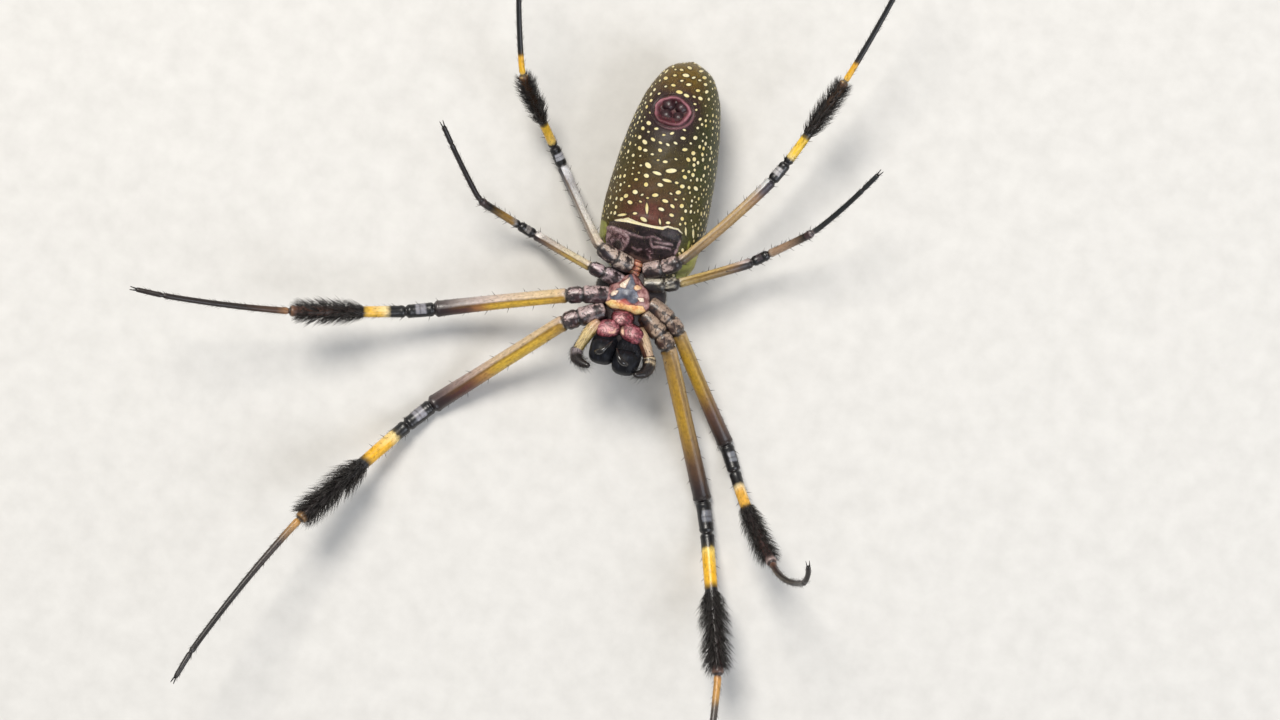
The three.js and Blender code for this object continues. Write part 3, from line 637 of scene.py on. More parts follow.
# Legs
class Leg:
    """The centreline of one leg from its root to its claws, and the skin round it."""

    def __init__(self, name):
        self.name = name
        self.pair = int(name.split("_")[1])
        self.look = LEG_LOOKS[name]
        self.root, turns = LEG_POSES[name]
        self.turns = np.array([t + [0] * (4 - len(t)) for t in turns], float)
        self.lengths = np.array(LEG_LENGTHS[self.pair])
        self.ends = np.cumsum(self.lengths)
        self.total = self.ends[-1]
        steps = math.ceil(self.total / STEP)
        middles = self.forward((np.arange(steps) + 0.5) * STEP)
        self.points = np.concatenate([[self.root], np.array(self.root) + np.cumsum(middles * STEP, 0)])

    def segment(self, s):
        i = np.minimum(np.searchsorted(self.ends, np.clip(s, 0, self.total - 1e-6), side="right"), 6)
        start = self.ends[i] - self.lengths[i]
        return i, (np.clip(s, 0, self.total - 1e-6) - start) / self.lengths[i]

    def direction(self, s):
        i, share = self.segment(s)
        heading, rise, heading_turn, rise_turn = self.turns[i].T
        h = np.radians(heading + (share - 0.5) * heading_turn)
        r = np.radians(rise + (share - 0.5) * rise_turn)
        return np.stack([np.cos(r) * np.cos(h), np.cos(r) * np.sin(h), np.sin(r)], -1)

    def forward(self, s):
        return unit(sum(self.direction(s + d) for d in np.arange(-8, 9) * BEND / 8))

    def at(self, s):
        i = np.clip((s / STEP).astype(int), 0, len(self.points) - 2)
        centre = self.points[i] + (self.points[i + 1] - self.points[i]) * (s / STEP - i)[:, None]
        forward = self.forward(s)
        side = unit(np.stack([forward[:, 1], -forward[:, 0], 0 * s], -1))
        return centre, forward, side, np.cross(side, forward)

    def out_at(self, s, angle):
        """Centre, forward and outward directions at places along the leg and round it."""
        centre, forward, side, up = self.at(s)
        return centre, forward, swept(side, up, angle)

    def to_joint(self, s):
        return np.abs(s[:, None] - self.ends[None, :6]).min(1)

    def radius(self, s):
        i, share = self.segment(s)
        a, b, c = np.array(LEG_RADII[self.pair])[i].T
        size = np.where(share < 0.5, a + (b - a) * share * 2, b + (c - b) * (share * 2 - 1))
        nearest = self.to_joint(s)
        depth = np.where(s < self.ends[1] + 0.5, 0.13, 0.25)
        groove = depth * smooth_bump(nearest, 0.15) - 0.05 * smooth_bump(nearest - 0.4, 0.2)
        return size * (1 - groove)

    def place(self, turn, run):
        s = self.total * run
        angle = 2 * math.pi * turn
        centre, _, out = self.out_at(s, angle)
        segment, share = self.segment(s)
        long_one = np.isin(segment, [2, 4]) * np.clip(np.minimum(share, 1 - share) * 8, 0, 1)
        knobbly = 0.03 * (segment < 2) + 0.01
        ridged = 1 + 0.025 * long_one * np.cos(3 * angle) + knobbly * ripple(
            np.stack([s * 1.5, np.cos(angle) * 2, np.sin(angle) * 2], -1), 1.0, 5)
        return centre + out * (self.radius(s) * ridged * ended(run, 0.006))[:, None]

    def marks(self, turn, run):
        s = self.total * run
        segment, share = self.segment(s)
        angle = 2 * math.pi * turn
        _, _, out = self.out_at(s, angle)
        # pale side: partly the leg's own colour, partly painted highlight. lit_facing places the painted
        # highlight on the knee.
        towards = PICTURE_TURN + math.radians(self.look["pale_side"])
        facing = out[:, 0] * math.cos(towards) + out[:, 1] * math.sin(towards)
        edge = np.interp(s, [self.ends[1] - 0.3, self.ends[1] + 0.3], self.look["pale_edges"])
        return {
            "leg_run": (segment + share) / SEGMENTS,
            "straight_place": np.stack([s, np.cos(angle) * 0.9, np.sin(angle) * 0.9], -1),
            "pale_facing": facing - edge,
            "lit_facing": out[:, 2],
            "joint_away": np.minimum(self.to_joint(s), 2.0),
        }


SEGMENTS = 7
BLACK = "#0b0a0c"
# How each leg is coloured. Its pale side, partly the leg's own paler colour and partly painted highlight,
# is an angle in the plane of the floor, as the camera sees it, with how far round its root and its femur
# that side reaches. femur and foot give places along the leg, counted in segments from its root, and the
# colours there: the femur's own and its pale side's. patch is the colour of a painted highlight on the knee.
LEG_LOOKS = {
    "leg_1_left": dict(pale_side=100, pale_edges=(-0.1, 0.0), root=("#1e1013", "#3a2022", "#b59f9d"), femur=[
        (2.06, "#b8903a", "#cfb48c"), (2.2, "#c9a338", "#cfb690"), (2.5, "#c6a234", "#c9b090"),
        (2.6, "#a57a40", "#bfa692"), (2.72, "#5c342a", "#a08a82"), (2.9, "#2a1818", "#5c4c4a")],
        patch="#838188", band=(4.13, 4.36, "#e2ab1e", "#ecd08a"),
        foot=[(4.95, "#2a1c1c"), (5.03, "#b98a48"), (5.1, "#8a6a44"), (5.18, "#3a2e28"), (5.5, "#1c1714")]),
    "leg_2_left": dict(pale_side=98, pale_edges=(0.0, -0.1), root=("#1e1013", "#3c2226", "#b8a1a0"), femur=[
        (2.06, "#c0963e", "#d4b98e"), (2.2, "#cda536", "#d6bd96"), (2.55, "#cba332", "#c4b0a2"),
        (2.66, "#9c6a3c", "#b8a8a2"), (2.75, "#4e2c26", "#a39894"), (2.9, "#2a1818", "#5c5250")],
        patch="#838188", band=(4.17, 4.34, "#e0b03c", "#ead29a"),
        foot=[(4.95, "#5a3c30"), (5.03, "#8c6440"), (5.1, "#4a3020"), (5.4, "#1e130d")]),
    "leg_3_left": dict(pale_side=62, pale_edges=(-0.1, -0.15), root=("#170c0f", "#2e1619", "#bda7aa"), femur=[
        (2.06, "#b39a5a", "#d2c3a8"), (2.3, "#b29238", "#d2c4a4"), (2.6, "#8c7250", "#c0b4a8"),
        (2.8, "#5a4840", "#b0a69e"), (2.93, "#2c201e", "#d8d2cc")],
        patch="#77726f", band=(4.12, 4.4, "#8c6c34", "#8a8480"), fading=0.35,
        foot=[(4.9, "#2e2422"), (5.0, "#4a3c3a"), (5.06, "#1c1414"), (5.5, "#140e0e")]),
    "leg_4_left": dict(pale_side=25, pale_edges=(0.0, -0.35), root=("#161013", "#2a1a1c", "#beaa9c"), femur=[
        (2.06, "#8c7c6e", "#cdc0ac"), (2.3, "#8e867e", "#cdc8c0"), (2.6, "#7c7874", "#c2c0be"),
        (2.8, "#585456", "#a9a7aa"), (2.94, "#2c282c", "#d4d4d8")],
        patch="#a3a3aa", band=(4.08, 4.3, "#e0b02c", "#e8c468"),
        foot=[(4.98, "#5a3c22"), (5.0, "#e8c890"), (5.02, "#e6b420"), (5.14, "#dca41c"), (5.17, BLACK)]),
    "leg_1_right": dict(pale_side=20, pale_edges=(-0.2, 0.35), root=("#20130f", "#4a3026", "#a08a78"), femur=[
        (2.06, "#9a7838", "#b59664"), (2.2, "#a57e24", "#a88c56"), (2.5, "#ab8420", "#957744"),
        (2.64, "#8c6a2c", "#80633c"), (2.75, "#5c4028", "#5c4430"), (2.9, "#2c1c18", "#3a2a24")],
        patch="#6c6e76", band=(4.13, 4.36, "#e4ae1c", "#e8c662"),
        foot=[(4.95, "#3a2a28"), (5.0, "#6a5048"), (5.03, "#c08c48"), (5.13, "#b88a48"), (5.2, "#4e4640"),
              (5.4, "#26231f")]),
    "leg_2_right": dict(pale_side=20, pale_edges=(-0.2, 0.5), root=("#20130f", "#463026", "#9c8676"), femur=[
        (2.06, "#a5823c", "#b09258"), (2.2, "#b48c20", "#a88a44"), (2.45, "#b08a20", "#9c7c3c"),
        (2.56, "#94702c", "#8a6a38"), (2.7, "#5c3e30", "#6c5040"), (2.9, "#2f1e18", "#42302a")],
        patch="#73757c", band=(4.17, 4.36, "#dca63c", "#eed6a4"),
        foot=[(4.93, "#4a3430"), (4.98, "#a08c88"), (5.02, "#6e4a38"), (5.08, "#34201a"), (5.3, "#180c07")]),
    "leg_3_right": dict(pale_side=112, pale_edges=(0.1, 0.2), root=("#14100f", "#26201c", "#b0a898"), femur=[
        (2.06, "#a08850", "#cdb88c"), (2.25, "#8a6e2c", "#c4a868"), (2.6, "#7a6034", "#bd9f66"),
        (2.76, "#5a4230", "#b89c7c"), (2.86, "#241816", "#c8b6b0"), (2.97, "#1a1214", "#8c7c7a")],
        patch="#3c3438", band=(4.06, 4.4, "#9c8068", "#a8927e"), fading=0.45,
        foot=[(4.8, "#4a3432"), (4.95, "#3a2a2c"), (5.0, "#b0a0a0"), (5.04, "#2a2a2a"), (5.5, "#141819")]),
    "leg_4_right": dict(pale_side=128, pale_edges=(0.05, 0.25), root=("#181012", "#30201f", "#b8a29c"),
        femur=[
        (2.08, "#5c4a2c", "#c4aa80"), (2.3, "#94764a", "#c4a878"), (2.65, "#a0804a", "#c0a478"),
        (2.8, "#8c6a48", "#b8a488"), (2.88, "#3a2a30", "#b0aaa8"), (2.96, "#2e2630", "#d2d2d2")],
        patch="#a8a5a6", band=(4.08, 4.3, "#e6bc2c", "#ecce78"),
        foot=[(4.98, "#5a3c22"), (5.0, "#e0c088"), (5.02, "#e2ae24"), (5.14, "#d49c20"), (5.17, BLACK)]),
}


def leg_stops(look, pale):
    """Places along the leg, in segments, and their colours on its pale side, partly painted highlight, or on
    the other one.
    """
    dark, middle, light = look["root"]
    start, stop, yellow, cream = look["band"]
    root = [(0, light), (1.97, light)] if pale else [
        (0, dark), (0.5, middle), (1.0, dark), (1.4, middle), (1.97, dark)]
    femur = [(at, pale_shade if pale else own_shade) for at, own_shade, pale_shade in look["femur"]]
    shin = [(3.04, BLACK), (start - 0.03, BLACK), (start, cream), (start + (0.15 if pale else 0.05), yellow),
            (stop, yellow), (stop + look.get("fading", 0.025), BLACK)]
    return root + femur + shin + look["foot"] + [(SEGMENTS, look["foot"][-1][1])]


def along_leg(finish, value, *stops):
    """A ramp whose places are counted in segments from the leg's root."""
    return finish.ramp(value, *[(at / SEGMENTS, shade) for at, shade in stops])


def leg_skin_finish(name, look):
    """Bands of colour along the leg on two sides of it, with the marbling of its root and fine long lines.
    The pale side is partly painted highlight; a painted highlight lies on the knee and a painted shadow line
    along the femur where its two sides meet.
    """
    finish = Finish(name, coat=0.25, coat_roughness=0.25, soft=0.08, place="straight_place")
    run, facing = finish.reads("leg_run"), finish.reads("pale_facing")
    wander = finish.noise(1.3, 3.0)
    uneven = finish.swung(run, wander, 0.006)
    blotch = finish.noise(0.75, 2.0, 0.5, 0.4)
    streak = finish.noise(1.0, 3.0, stretch=(0.1, 2.0, 2.0))
    at_root = along_leg(finish, run, (0, 1.0), (1.9, 1.0), (2.05, 0.0), (SEGMENTS, 0.0))
    in_femur = along_leg(finish, run, (0, 0.0), (2, 0.0), (2.1, 1.0), (2.8, 1.0), (2.9, 0.0))
    side = finish.swung(facing, streak, 0.5)
    side = finish.sums("ADD", side, finish.times(at_root, finish.sums("MULTIPLY_ADD", blotch, 4.2, -2.2)))
    gentle = finish.times(at_root, finish.between(side, -0.25, 0.5, 0.0, 0.95))
    crisp = finish.times(finish.sums("SUBTRACT", 1.0, at_root), finish.between(side, -0.06, 0.14))
    # The pale side over the other: partly the leg's own colour, partly painted highlight.
    finish.shade = along_leg(finish, uneven, *leg_stops(look, pale=False))
    finish.lay(along_leg(finish, uneven, *leg_stops(look, pale=True)), finish.sums("ADD", gentle, crisp))
    # A painted highlight on the knee, on its upper side.
    highlight_side = finish.sums("MULTIPLY_ADD", facing, 0.45, finish.reads("lit_facing"))
    highlight_side = finish.between(finish.swung(highlight_side, blotch, 0.6), 0.52, 0.68)
    patch = along_leg(finish, uneven, (0, 0.0), (3.28, 0.0), (3.34, 1.0), (3.48, 1.0), (3.52, 0.35),
                      (3.56, 1.0), (3.64, 1.0), (3.7, 0.0))
    finish.lay(look["patch"], patch, highlight_side)
    # A painted shadow line along the femur, where its two sides meet.
    finish.lay("#5c4012", finish.between(finish.sums("ABSOLUTE", side), 0.3, 0.06), in_femur, 0.55)
    lines = finish.noise(1.6, 2.0, 0.4, stretch=(0.14, 3.0, 3.0))
    finish.lay("#54360f", finish.contour(lines, 0.025), in_femur, 0.55)
    veins = finish.noise(1.7, 2.0, 0.5, 0.8)
    finish.lay("#1a0d10", finish.contour(veins, 0.06), at_root, 0.85)
    finish.lay("#150b0d", finish.between(wander, 0.46, 0.38), at_root, 0.85)
    near_joint = finish.past("joint_away", wander, 0.12, 0.22, 0.06)
    finish.lay("#120b0c", near_joint, 0.85)
    finish.shade = finish.toned(finish.shade, finish.spread(finish.noise(2.6, 4.0), 0.84, 1.12))
    finish.relief(finish.noise(9.0, 3.0, stretch=(1.0, 1.6, 1.6)), 0.3, 0.00004)
    gloss = along_leg(finish, run, (0, 0.36), (1.9, 0.36), (2.1, 0.44), (2.8, 0.42), (3.05, 0.38), (4, 0.36),
                      (5, 0.38), (SEGMENTS, 0.42))
    return finish.paint(finish.swung(gloss, blotch, 0.16))


ink_bristle = hair_finish("ink_bristle", "#070708", "#4a4643", 0.42)
dark_seta = hair_finish("dark_seta", "#120c0a", "#3a2a20", 0.45)


def brush_hairs(leg):
    """Bristles in loose rows that slant towards the foot, over a short dense pile."""
    start, stop, length, count = BRUSHES[leg.pair]
    for label, share, low, high, width in (("brush", 1.0, 0.75, 1.05, 0.034), ("pile", 0.9, 0.2, 0.5, 0.026)):
        number = int(count * share)
        u = random.random(number)
        s = leg.ends[3] + leg.lengths[4] * (start + (stop - start) * u)
        angle = random.random(number) * 2 * math.pi
        centre, forward, out = leg.out_at(s, angle)
        root = centre + out * (leg.radius(s) - 0.05)[:, None]
        size = length * (low + (high - low) * random.random(number))
        size *= np.clip(0.62 + 2.4 * u, 0, 1) * (1 - 0.4 * np.clip((u - 0.8) / 0.2, 0, 1))
        lean = 0.72 + 0.4 * random.random(number)[:, None]
        way = out + forward * lean + 0.13 * random.normal(size=(number, 3))
        bend = forward * (0.34 + 0.22 * random.random(number)[:, None]) - out * 0.1
        patch = np.stack([angle / (2 * math.pi), s / leg.total], -1)
        widths = width * (0.8 + 0.4 * random.random(number))
        bristles(f"{label}_{leg.name}", root, way, bend, size, widths, patch, ink_bristle, "tibia")


# Hairs on the leg of each pair, and their length on each segment of it.
HAIR_COUNTS = {1: 1100, 2: 900, 3: 650, 4: 850}
HAIR_LENGTHS = np.array([0.3, 0.3, 0.27, 0.3, 0.5, 0.5, 0.4])
HAIR_WIDTH = 0.014
SPINES = 26
SPINE_LENGTH = 0.62
SPINE_WIDTH = 0.042


def leg_hairs(leg):
    """Fine dark hairs over the whole leg, with short spines along both sides of its femur and shin."""
    count = HAIR_COUNTS[leg.pair]
    bare = leg.ends[0] * 0.3
    s = bare + (leg.total - bare) * random.random(count)
    spread = (np.arange(SPINES) + random.random(SPINES)) / SPINES
    s[:SPINES] = leg.ends[1] + (leg.ends[4] - leg.ends[1]) * spread
    angle = random.random(count) * 2 * math.pi
    angle[:SPINES] = math.pi * (np.arange(SPINES) % 2) + random.normal(size=SPINES) * 0.5
    kept = leg.to_joint(s) > 0.18
    s, angle = s[kept], angle[kept]
    spine = np.nonzero(kept)[0] < SPINES
    count = len(s)
    centre, forward, out = leg.out_at(s, angle)
    root = centre + out * (leg.radius(s) - 0.03)[:, None]
    size = HAIR_LENGTHS[leg.segment(s)[0]] * (0.6 + 0.7 * random.random(count))
    size = np.where(spine, SPINE_LENGTH, size)
    way = out * 0.8 + forward * np.where(spine, 0.5, 1.2)[:, None] + 0.15 * random.normal(size=(count, 3))
    bend = forward * 0.15 - out * 0.05
    patch = np.stack([angle % (2 * math.pi) / (2 * math.pi), s / leg.total], -1)
    widths = np.where(spine, SPINE_WIDTH, HAIR_WIDTH)
    bristles("hairs_" + leg.name, root, way, bend, size, widths, patch, dark_seta, "tibia")


def claw_finish():
    finish = Finish("claw_horn", roughness=0.25, coat=0.4)
    finish.shade = finish.ramp(finish.noise(6.0), (0.3, "#080707"), (0.7, "#1a120f"))
    return finish.paint()


claw_horn = claw_finish()


def claw_size(run):
    return (0.1 - 0.075 * run) * ended(run, 0.08)


def leg_claws(leg):
    """Two hooked claws at the end of the foot."""
    centre, forward, side, up = (v[0] for v in leg.at(np.array([leg.total - 0.3])))
    for half, label in ((-1, "a"), (1, "b")):
        reach = [(0.0, 0.06, 0.02), (0.45, 0.12, 0.17), (0.78, 0.16, 0.05), (0.84, 0.18, -0.3)]
        path = through([centre + forward * a + side * half * b + up * c for a, b, c in reach])
        moulded(f"claw_{leg.name}_{label}", tube_place(path, claw_size, side), 10, 14, claw_horn, "foot")


LEG_AROUND = 36
LEG_STEP = 0.11
for leg in [Leg(name) for name in LEG_POSES]:
    nodes = [f"{leg.name}_{node}" for node in ("coxa", "femur", "tibia", "metatarsus")]
    skin = "skin_" + leg.name
    moulded(skin, leg.place, LEG_AROUND, int(leg.total / LEG_STEP), leg_skin_finish(skin, leg.look), "femur",
            nodes, leg.marks)
    leg_hairs(leg)
    leg_claws(leg)
    if leg.pair in BRUSHES:
        brush_hairs(leg)


# Abdomen
# Drawn on the abdomen's skin as (place round it from the belly's middle line, place along it), in
# millimetres: areas as rings of corners, lines with their half-widths.
ABDOMEN_AREAS = {
    "front": [[(-4.6, 7.0), (-2, 7.5), (0, 7.4), (1.8, 7.5), (2.8, 7.8), (3.7, 7.7), (4.2, 7.3), (4.2, 6.6),
               (3.4, 4.8), (2.2, 4), (0.8, 3.3), (-0.6, 3), (-1.9, 3.3), (-3.1, 3.7), (-4.2, 4.4),
               (-4.8, 5.2)]],
    "lobe": [[(-4.5, 6.9), (-3.4, 7.1), (-1, 7.1), (-0.9, 6.5), (-4.4, 6.6)]],
    "flesh": [[(-4.7, 6.4), (-2.2, 6.4), (-1.6, 6), (-1.4, 5.2), (-2.2, 4.1), (-3.2, 3.9), (-4.2, 4.5)],
              [(0.4, 5), (1.1, 5.3), (0.9, 3.9)]],
    "bulge": [[(-1.7, 4), (-1, 4.3), (0.4, 4), (1.9, 4.3), (2.2, 3.9), (0.9, 3.2), (-0.6, 2.9), (-1.9, 3.2)]],
    "band": [[(3.4, 2.8), (4, 3.9), (4.8, 4.9), (5.8, 5.8), (7.4, 6.1), (8.6, 5.5), (8.6, 3.5), (6, 2.6)]],
    "red_patch": [[(-1.5, 7.6), (1.3, 7.6), (1.5, 8.6), (0.9, 9.6), (-0.6, 9.9), (-1.5, 9)]],
}
ABDOMEN_LINES = {
    "cream_line": [[(-3.7, 7.2, 0.06), (-2.4, 7.4, 0.17), (-1.9, 7.5, 0.24), (-0.7, 7.4, 0.13),
                    (0.7, 7.4, 0.12), (1.8, 7.5, 0.14), (2.3, 7.8, 0.09), (3.5, 7.8, 0.07),
                    (4.1, 7.5, 0.05)]],
    "fold": [[(-4.6, 6.3, 0.2), (-3.3, 6.3, 0.25), (-1.5, 6.2, 0.14), (-0.1, 6.1, 0.07), (0.6, 6.3, 0.06)],
             [(-2.1, 6.2, 0.1), (-1.5, 5.7, 0.14), (-1.6, 5.1, 0.16), (-2, 4.3, 0.08)],
             [(-4.5, 6.4, 0.1), (-4.4, 5.8, 0.15), (-4.2, 5, 0.1)],
             [(0.8, 6.4, 0.08), (1.3, 6.4, 0.09), (1.8, 6.3, 0.05)],
             [(0.8, 6.2, 0.1), (0.9, 5.7, 0.1), (1.1, 5.3, 0.07)],
             [(1.2, 5.9, 0.08), (2, 6, 0.12), (3.1, 6.1, 0.08)],
             [(1.1, 5.4, 0.08), (1.8, 5.6, 0.12), (2.9, 5.6, 0.06)],
             [(-0.9, 4.9, 0.05), (-0.4, 4.7, 0.07), (0, 4.9, 0.05)],
             [(4, 6.7, 0.12), (3.8, 6, 0.15), (3.5, 5.3, 0.1)]],
    "band": [[(-5.5, 6.1, 0.85), (-8, 6.2, 0.95), (-12, 5.4, 0.75), (-18, 4.9, 0.6)],
             [(8, 4.8, 1), (12, 5.2, 0.75), (18, 4.9, 0.6)],
             [(5.3, 6.8, 0.15), (5.3, 6.1, 0.2), (5, 5.5, 0.15)]],
}
HOLLOW = (-2.8, 4.8, 0.6, 0.5, 10)
# Bumps of the front: place round the belly, place along it, half-sizes across and along.
PLATES = [(2.3, 6.75, 1.5, 0.5), (2.3, 4.7, 1.2, 0.65), (-0.5, 5.2, 0.95, 0.8), (-2.6, 6.85, 1.7, 0.42)]
# How far round from the belly's middle line the small spots reach, from the front of the abdomen to its end.
SPOTS_REACH = [[0.1], [9.0], [13.0], [16.0], [17.0], [17.0], [16.6], [15.0], [12.6], [8.4], [0.1]]
ALONG_START = 2
ALONG_LENGTH = 24


def mean_reach(rows):
    """The mean of half a row's width and half its height."""
    return (np.maximum(rows[:, 1], 0) + np.maximum(rows[:, 3] - rows[:, 2], 0) / 2) / 2


def round_arc(turn, run):
    """Distance round the abdomen's skin from the middle line of the belly, in millimetres."""
    away = 0.25 - turn
    away = away - np.round(away)
    return away * 2 * math.pi * mean_reach(table(ABDOMEN_ROWS)(run))


def back_arc(y):
    """How far round the skin the middle of the back is."""
    rows = table(ABDOMEN_ROWS)(np.linspace(0, 1, 400))
    return float(np.interp(y, rows[:, 0], mean_reach(rows))) * math.pi


def ring_place(arc, y):
    """Distance from the middle of the spinnerets' ring, and the angle there."""
    dx, dy = (arc + 0.15) / 1.17, (y - 19.62) / 0.88
    return np.hypot(dx, dy), np.arctan2(dy, dx)


def abdomen_edges(arc, y):
    edges = {key: area_edge(arc, y, *areas) for key, areas in ABDOMEN_AREAS.items()}
    for key, lines in ABDOMEN_LINES.items():
        edges[key] = np.minimum(edges.get(key, FAR), line_edge(arc, y, *lines))
    edges["hollow"] = spot_edge(arc, y, [HOLLOW])
    return edges


def abdomen_place(turn, run):
    base = loft_point(ABDOMEN_ROWS, turn, run)
    y, arc = base[:, 1], round_arc(turn, run)
    edges = abdomen_edges(arc, y)
    grow = 0.05 * ripple(base, 1.4, 3) + 0.02 * ripple(base, 4.0, 4)
    grow += 0.12 * rising(edges["fold"], 0.05) + 0.06 * rising(edges["cream_line"], 0.05)
    grow += 0.2 * rising(edges["bulge"], 0.15) - 0.32 * rising(edges["hollow"], 0.1)
    grow -= 0.1 * smooth_bump(edges["front"] + 0.05, 0.14)
    grow += 0.12 * smooth_bump(y - 8.0 + 0.03 * arc**2, 0.35) * smooth_bump(arc, 4.0)
    for x, along, half_wide, half_long in PLATES:
        grow += 0.13 * smooth_bump(np.hypot((arc - x) / half_wide, (y - along) / half_long), 0.9)
    # the raised ring round the spinnerets, the groove and the lower ring outside it, the hollow inside it
    away, angle = ring_place(arc, y)
    waved = 1.6 + 0.06 * np.sin(5 * angle + 0.6) + 0.04 * np.sin(11 * angle)
    grow += 0.36 * smooth_bump(away - waved, 0.2) - 0.1 * smooth_bump(away - 1.92, 0.12)
    grow += 0.12 * smooth_bump(away - 2.12, 0.12) - 0.4 * smooth_bump(away, 1.1)
    grow += 0.03 * np.sin(away * 21 + np.sin(4 * angle)) * smooth_bump(away - 2.5, 0.5)
    return swollen(base, ABDOMEN_ROWS, turn, run, grow, 2.0)


def back_pairs():
    """Paired spots along the back."""
    spots = []
    for k in range(7):
        y = 6.8 + 2.4 * k
        for _, sign in SIDES:
            spots.append((y, sign * (back_arc(y) - 1.9 + 0.1 * k), 0.3, 0.42, sign * 20))
    return spots


def scattered_spots():
    """All pale spots. The small ones stand in uneven rows, everywhere but on the front, the band, the cream
    line, the ring and the larger spots."""
    spots = LARGE_SPOTS + back_pairs()
    for row in range(58):
        y = 2.6 + row * 0.4
        reach = float(table(SPOTS_REACH)(np.array([(y - 2.0) / 23.7]))[0, 0])
        for k in range(-28, 29):
            arc = (k + 0.5 * (row % 2)) * 0.62 + random.normal() * 0.16
            place = y + random.normal() * 0.13
            size = 0.55 + 0.7 * random.random() ** 1.5
            middle = math.exp(-((arc / 3.4) ** 4))
            room = 0.34 + 0.2 * middle
            crowded = any(math.hypot(place - s[0], arc - s[1]) < room + max(s[2], s[3]) * 0.85 for s in spots)
            if abs(arc) > reach or crowded:
                continue
            here = abdomen_edges(np.array([arc]), np.array([place]))
            taken = min(here[key][0] for key in ("front", "band", "cream_line")) < 0.25
            if taken or ring_place(arc, place)[0] < 2.35 or random.random() < 0.12:
                continue
            across, along = (0.14 + 0.17 * middle) * size, (0.18 - 0.02 * middle) * size
            spots.append((place, arc, across, along, random.normal() * 16 + 4))
    return spots


PALE_SPOTS = scattered_spots()


def spots_edge(arc, y):
    """The distance to the nearest pale spot, worked out in stretches, each with the spots near it."""
    nearest = np.full(y.shape, FAR)
    for stretch in np.array_split(np.arange(len(y)), 80):
        low, high = y[stretch].min() - 0.8, y[stretch].max() + 0.8
        near = [(spot_arc, place, *rest) for place, spot_arc, *rest in PALE_SPOTS if low < place < high]
        nearest[stretch] = spot_edge(arc[stretch], y[stretch], near)
    return np.clip(nearest, -1, 1)


def ring_rim(away, angle):
    """How strongly the pale edges of the spinnerets' ring show."""
    strong = np.clip(np.maximum(np.cos(angle - 2.4), np.cos(angle - 0.1)), 0, 1)
    rim = smooth_bump(away - 1.62 - 0.06 * np.sin(5 * angle), 0.16) * (0.3 + 0.7 * strong)
    return rim + smooth_bump(away - 2.12, 0.1) * 0.6 * np.clip(np.cos(angle + 0.8), 0, 1) ** 2


def abdomen_marks(turn, run):
    y, arc = table(ABDOMEN_ROWS)(run)[:, 0], round_arc(turn, run)
    away, angle = ring_place(arc, y)
    facing = spokes(turn)
    return {
        **{key: np.clip(edge, -1.5, 1.5) for key, edge in abdomen_edges(arc, y).items()},
        "spot": spots_edge(arc, y), "rim": ring_rim(away, angle), "ring_away": np.minimum(away, 5.0),
        "along": (y - ALONG_START) / ALONG_LENGTH, "round_away": np.abs(arc),
        "to_right": facing[:, 0], "to_belly": facing[:, 2],
    }


def along_abdomen(finish, value, *stops):
    """A ramp whose places are in millimetres along the body."""
    return finish.ramp(value, *[((y - ALONG_START) / ALONG_LENGTH, shade) for y, shade in stops])


def abdomen_ground(finish, cloud, fine, wobble, speck):
    """Brown and olive, by the place along and round the body, redder about the ring."""
    along = finish.swung(finish.reads("along"), cloud, 0.16)
    finish.shade = along_abdomen(
        finish, along, (5, "#40261a"), (7.5, "#4a2a1b"), (9.5, "#4b2d1a"), (12, "#453312"), (15, "#3a3012"),
        (16.5, "#2c2014"), (18, "#241416"), (20, "#2b1618"), (21.8, "#422c14"), (24, "#604914"),
        (25.7, "#665217"))
    flank = along_abdomen(finish, along, (4, "#716e30"), (7, "#433a14"), (10, "#4c3c14"), (14, "#3e3713"),
                          (18, "#2e2714"), (22, "#4c3b12"))
    finish.lay(flank, finish.between(finish.reads("round_away"), 1.8, 4.8))
    finish.lay("#303a17", finish.past("to_right", cloud, 0.8, 0.35, 0.95), 0.6)
    finish.lay("#55421a", finish.past("to_belly", cloud, 0.5, 0.05, -0.6), 0.8)
    finish.lay("#5c3129", finish.inside("red_patch", wobble, 0.9, 0.35), 0.8)
    finish.lay("#2b161b", finish.past("ring_away", cloud, 1.8, 3.3, 2.2), 0.75)
    finish.shade = finish.toned(finish.shade, finish.spread(fine, 0.72, 1.28))
    finish.lay("#1c160c", finish.between(speck, 0.58, 0.68), 0.5)
    finish.lay("#8c7a44", finish.between(speck, 0.4, 0.3), 0.3)


def abdomen_pattern(finish, fine, wobble, spot):
    """The pale band round the front and the pale spots with their dark rims."""
    olive = finish.ramp(wobble, (0.3, "#7a7c3a"), (0.6, "#93964a"), (0.8, "#b0ac68"))
    band = finish.mixed(finish.between(finish.reads("to_belly"), 0.5, -0.6), olive, "#c4b572")
    finish.lay(band, finish.inside("band", wobble, 0.5, 0.14))
    finish.lay("#1d170a", finish.past("spot", wobble, 0.08, 0.16, 0.04), 0.65)
    cream = finish.ramp(finish.noise(0.9, 2.0), (0.32, "#e8dfb8"), (0.5, "#e6d8a4"), (0.66, "#dcc77e"))
    finish.lay(finish.toned(cream, finish.spread(fine, 0.85, 1.05)), spot)


